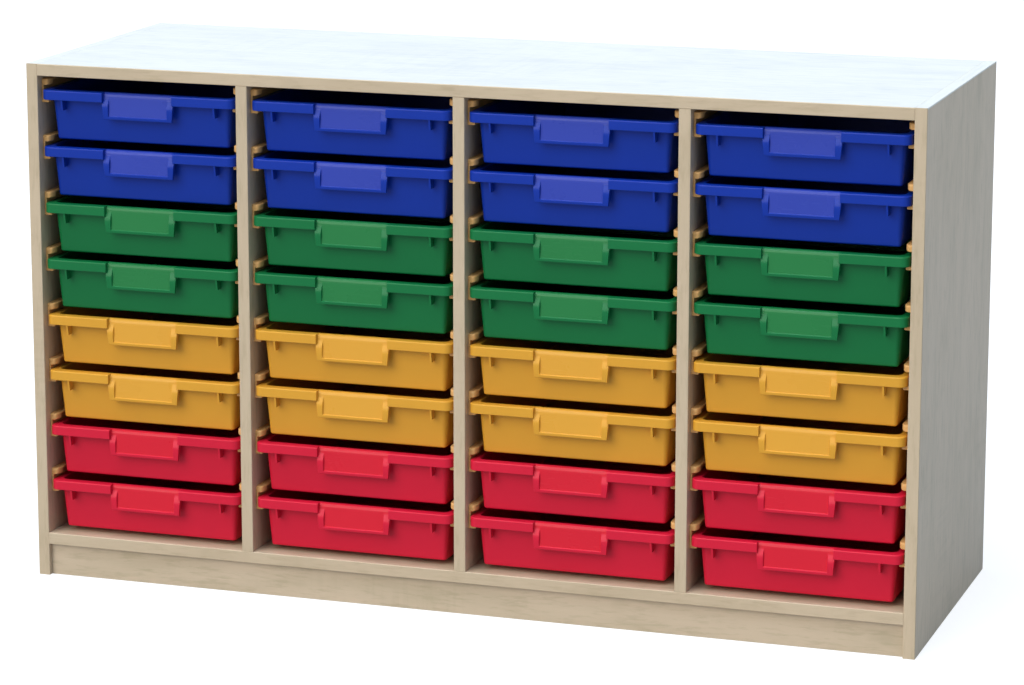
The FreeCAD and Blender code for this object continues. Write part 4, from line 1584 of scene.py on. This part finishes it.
    def faced_boards(self, grain: bpy.types.NodeTree) -> list[bpy.types.Object]:
        """Build the boards, of which the top panel's upper face has painted light: a paler, cooler
        copy of the facing that stands in for the bright light and sky reflection on it.

        Args:
            grain: The shared wood group.

        Returns:
            The boards.
        """
        made = []
        for seed, (node, along) in enumerate(self.boards().items(), start=1):
            board = self.softened(node)
            board.data.materials.clear()
            finishes = [BoardFinish(f"{node}_facing", self.board_pale, self.board_dark, along,
                                    seed=float(seed))]
            if node == "top_panel":
                finishes.append(BoardFinish("top_panel_upper_painted_light", self.sky_lit_pale,
                                            self.sky_lit_dark, along, seed=float(seed)))
                # Upward faces take the painted light of the top's upper facing
                for face in board.data.polygons:
                    face.material_index = int(face.normal.z > 0.5)
            for finish in finishes:
                board.data.materials.append(finish.material(grain))
            slot = "back" if node == "back_panel" else "board"
            made.append(seat(smoothed(board), CABINET, slot, node))
        return made

    def edging_strips(self, grain: bpy.types.NodeTree) -> list[bpy.types.Object]:
        """Build the edging, of which the side panels' upper strips carry the same painted light as
        the top.

        Args:
            grain: The shared wood group.

        Returns:
            The strips.
        """
        made = []
        for seed, (node, (bm, along)) in enumerate(self.edging().items(), self.strip_seed):
            finishes = [BoardFinish(f"{node}_strip", self.strip_pale, self.strip_dark, along,
                                    seed=float(seed), streaks=self.strip_streaks)]
            if node == "side_panel_edging":
                # The side panels' upper strips take the same painted light as the top
                finishes.append(BoardFinish("side_panel_top_strip", self.sky_lit_pale, self.sky_lit_dark,
                                            Axis.Y, seed=float(seed), streaks=self.strip_streaks))
            strips = from_bmesh(f"{node}_strips", bm)
            for finish in finishes:
                strips.data.materials.append(finish.material(grain))
            made.append(seat(smoothed(strips), CABINET, "edging", node))
        return made

    def dress_dowels(self, grain: bpy.types.NodeTree) -> None:
        """Give the dowels, which keep their solids, a beech finish.

        Args:
            grain: The shared wood group.
        """
        for node, along in (("side_panel_dowels", Axis.X), ("divider_dowels", Axis.Z),
                            ("plinth_dowels", Axis.Z)):
            finish = BoardFinish(f"{node}_beech", self.beech_pale, self.beech_dark, along,
                                 sheen=0.5)
            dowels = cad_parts[node].data
            dowels.materials.clear()
            dowels.materials.append(finish.material(grain))
            log.info("%s keeps its solid, in beech", node)

    def build(self, grain: bpy.types.NodeTree) -> list[bpy.types.Object]:
        """Build the boards and the edging, and give the dowels their finish.

        Args:
            grain: The shared wood group.

        Returns:
            The boards and strips.
        """
        made = self.faced_boards(grain) + self.edging_strips(grain)
        self.dress_dowels(grain)
        return made


# ---------------------------------------------------------------- studio


@dataclass(frozen=True)
class Lamp:
    """A wide soft lamp, so far away that its light is even.

    Args:
        name: Its name.
        toward: The direction from the unit to the lamp.
        level: Its light on a surface that faces it, where 1 shows colours as written.
        softness: The angle that the lamp fills, in degrees.
        tint: The colour of its light.
    """

    name: str
    toward: Point
    level: float
    softness: float
    tint: Colour = (1.0, 1.0, 1.0)

    def build(self) -> bpy.types.Object:
        """Hang the lamp.

        Returns:
            The lamp.
        """
        data = bpy.data.lights.new(self.name, "SUN")
        data.energy = math.pi * self.level
        data.angle = math.radians(self.softness)
        data.color = self.tint
        lamp = bpy.data.objects.new(self.name, data)
        lamp.rotation_euler = Vector(self.toward).to_track_quat("Z", "Y").to_euler()
        bpy.context.scene.collection.objects.link(lamp)
        return lamp


@dataclass
class Studio:
    """The camera, the lamps, the pale floor and the surroundings."""

    camera_place: Point = (1.70806, -5.09767, 1.55782)
    camera_turn: float = math.radians(18.531)
    camera_pitch: float = math.radians(11.595)
    camera_roll: float = 0.0004
    sensor: float = 36.0
    lens: float = 127.175
    lens_shift: float = -0.0586
    sight: float = 200.0
    key: Lamp = Lamp("key_lamp", (-0.42, -0.82, 0.52), 0.665, 48.0, (1.0, 0.965, 0.89))
    overhead: Lamp = Lamp("overhead_lamp", (-0.02, -0.16, 1.0), 1.0, 44.0, (0.76, 0.87, 1.0))
    floor_half: float = 60.0
    floor_colour: Colour = (0.39, 0.385, 0.38)
    floor_lift: float = 0.70
    floor_gloss: float = 0.30
    sky: Colour = (0.47, 0.71, 1.0)
    sky_level: float = 0.385

    def camera(self) -> bpy.types.Object:
        """The camera, for a three-quarter view from the right.

        Returns:
            The camera.
        """
        data = bpy.data.cameras.new("view_camera")
        data.sensor_width = self.sensor
        data.lens = self.lens
        data.shift_y = self.lens_shift
        data.clip_end = self.sight
        camera = bpy.data.objects.new("view_camera", data)
        turn = (Matrix.Rotation(self.camera_turn, 4, "Z")
                @ Matrix.Rotation(math.pi / 2 - self.camera_pitch, 4, "X")
                @ Matrix.Rotation(self.camera_roll, 4, "Z"))
        camera.matrix_world = Matrix.Translation(self.camera_place) @ turn
        bpy.context.scene.collection.objects.link(camera)
        bpy.context.scene.camera = camera
        return camera

    @staticmethod
    def by_ray(wire: Wiring, seen: float, mirrored: float) -> bpy.types.NodeSocket:
        """A value for rays from the camera, another for gloss and glass, and 0 for others.

        Args:
            wire: The wiring of the material or of the world.
            seen: The value for rays from the camera.
            mirrored: The value for gloss and for rays through glass.

        Returns:
            The value.
        """
        path = wire.add("ShaderNodeLightPath").outputs
        gloss = wire.plus(path["Is Glossy Ray"], path["Is Transmission Ray"])
        return wire.plus(wire.times(path["Is Camera Ray"], seen), wire.times(gloss, mirrored))

    def surroundings(self) -> None:
        """A pale sky that shows as white."""
        world = bpy.data.worlds.new("surroundings")
        bpy.context.scene.world = world
        world.use_nodes = True
        wire = Wiring(world.node_tree)
        ambient = wire.add("ShaderNodeBackground", Color=(*self.sky, 1.0),
                           Strength=self.sky_level)
        white = wire.add("ShaderNodeBackground", Color=WHITE, Strength=1.0)
        both = wire.add("ShaderNodeMixShader", Fac=self.by_ray(wire, 1.0, 1.0),
                        i1=ambient.outputs[0], i2=white.outputs[0])
        wire.add("ShaderNodeOutputWorld", Surface=both.outputs[0])

    def floor(self) -> bpy.types.Object:
        """A plain floor that shows as white and keeps a soft shadow.

        Returns:
            The floor.
        """
        bm = bmesh.new()
        bmesh.ops.create_grid(bm, x_segments=1, y_segments=1, size=self.floor_half)
        floor = from_bmesh("studio_floor", bm)
        material, wire, _ = new_material("studio_floor")
        matt = wire.add("ShaderNodeBsdfDiffuse", Color=(*self.floor_colour, 1.0))
        lift = wire.add("ShaderNodeEmission", Color=WHITE,
                        Strength=self.by_ray(wire, self.floor_lift, self.floor_gloss))
        both = wire.add("ShaderNodeAddShader", i0=matt.outputs[0], i1=lift.outputs[0])
        wire.add("ShaderNodeOutputMaterial", Surface=both.outputs[0])
        floor.data.materials.append(material)
        return floor

    def build(self) -> None:
        """Set up the whole studio."""
        bpy.context.scene.view_settings.view_transform = "Standard"
        self.camera()
        self.surroundings()
        self.floor()
        for lamp in (self.key, self.overhead):
            lamp.build()
            log.info("%s is lit", lamp.name)


def main() -> None:
    """Build the studio, the finishes and every piece."""
    logging.basicConfig(level=logging.INFO, format="%(name)s: %(message)s")
    Studio().build()
    grain, moulding, repeat = WoodGrain().group(), MouldedSkin().group(), repeat_tree()
    pieces = Carcass().build(grain)
    pieces += Runners().build(moulding, repeat)
    pieces += Screws().build(repeat)
    pieces += Trays(TrayShape()).build(moulding)
    log.info("%d pieces dressed", len(pieces))


if __name__ == "__main__":
    main()
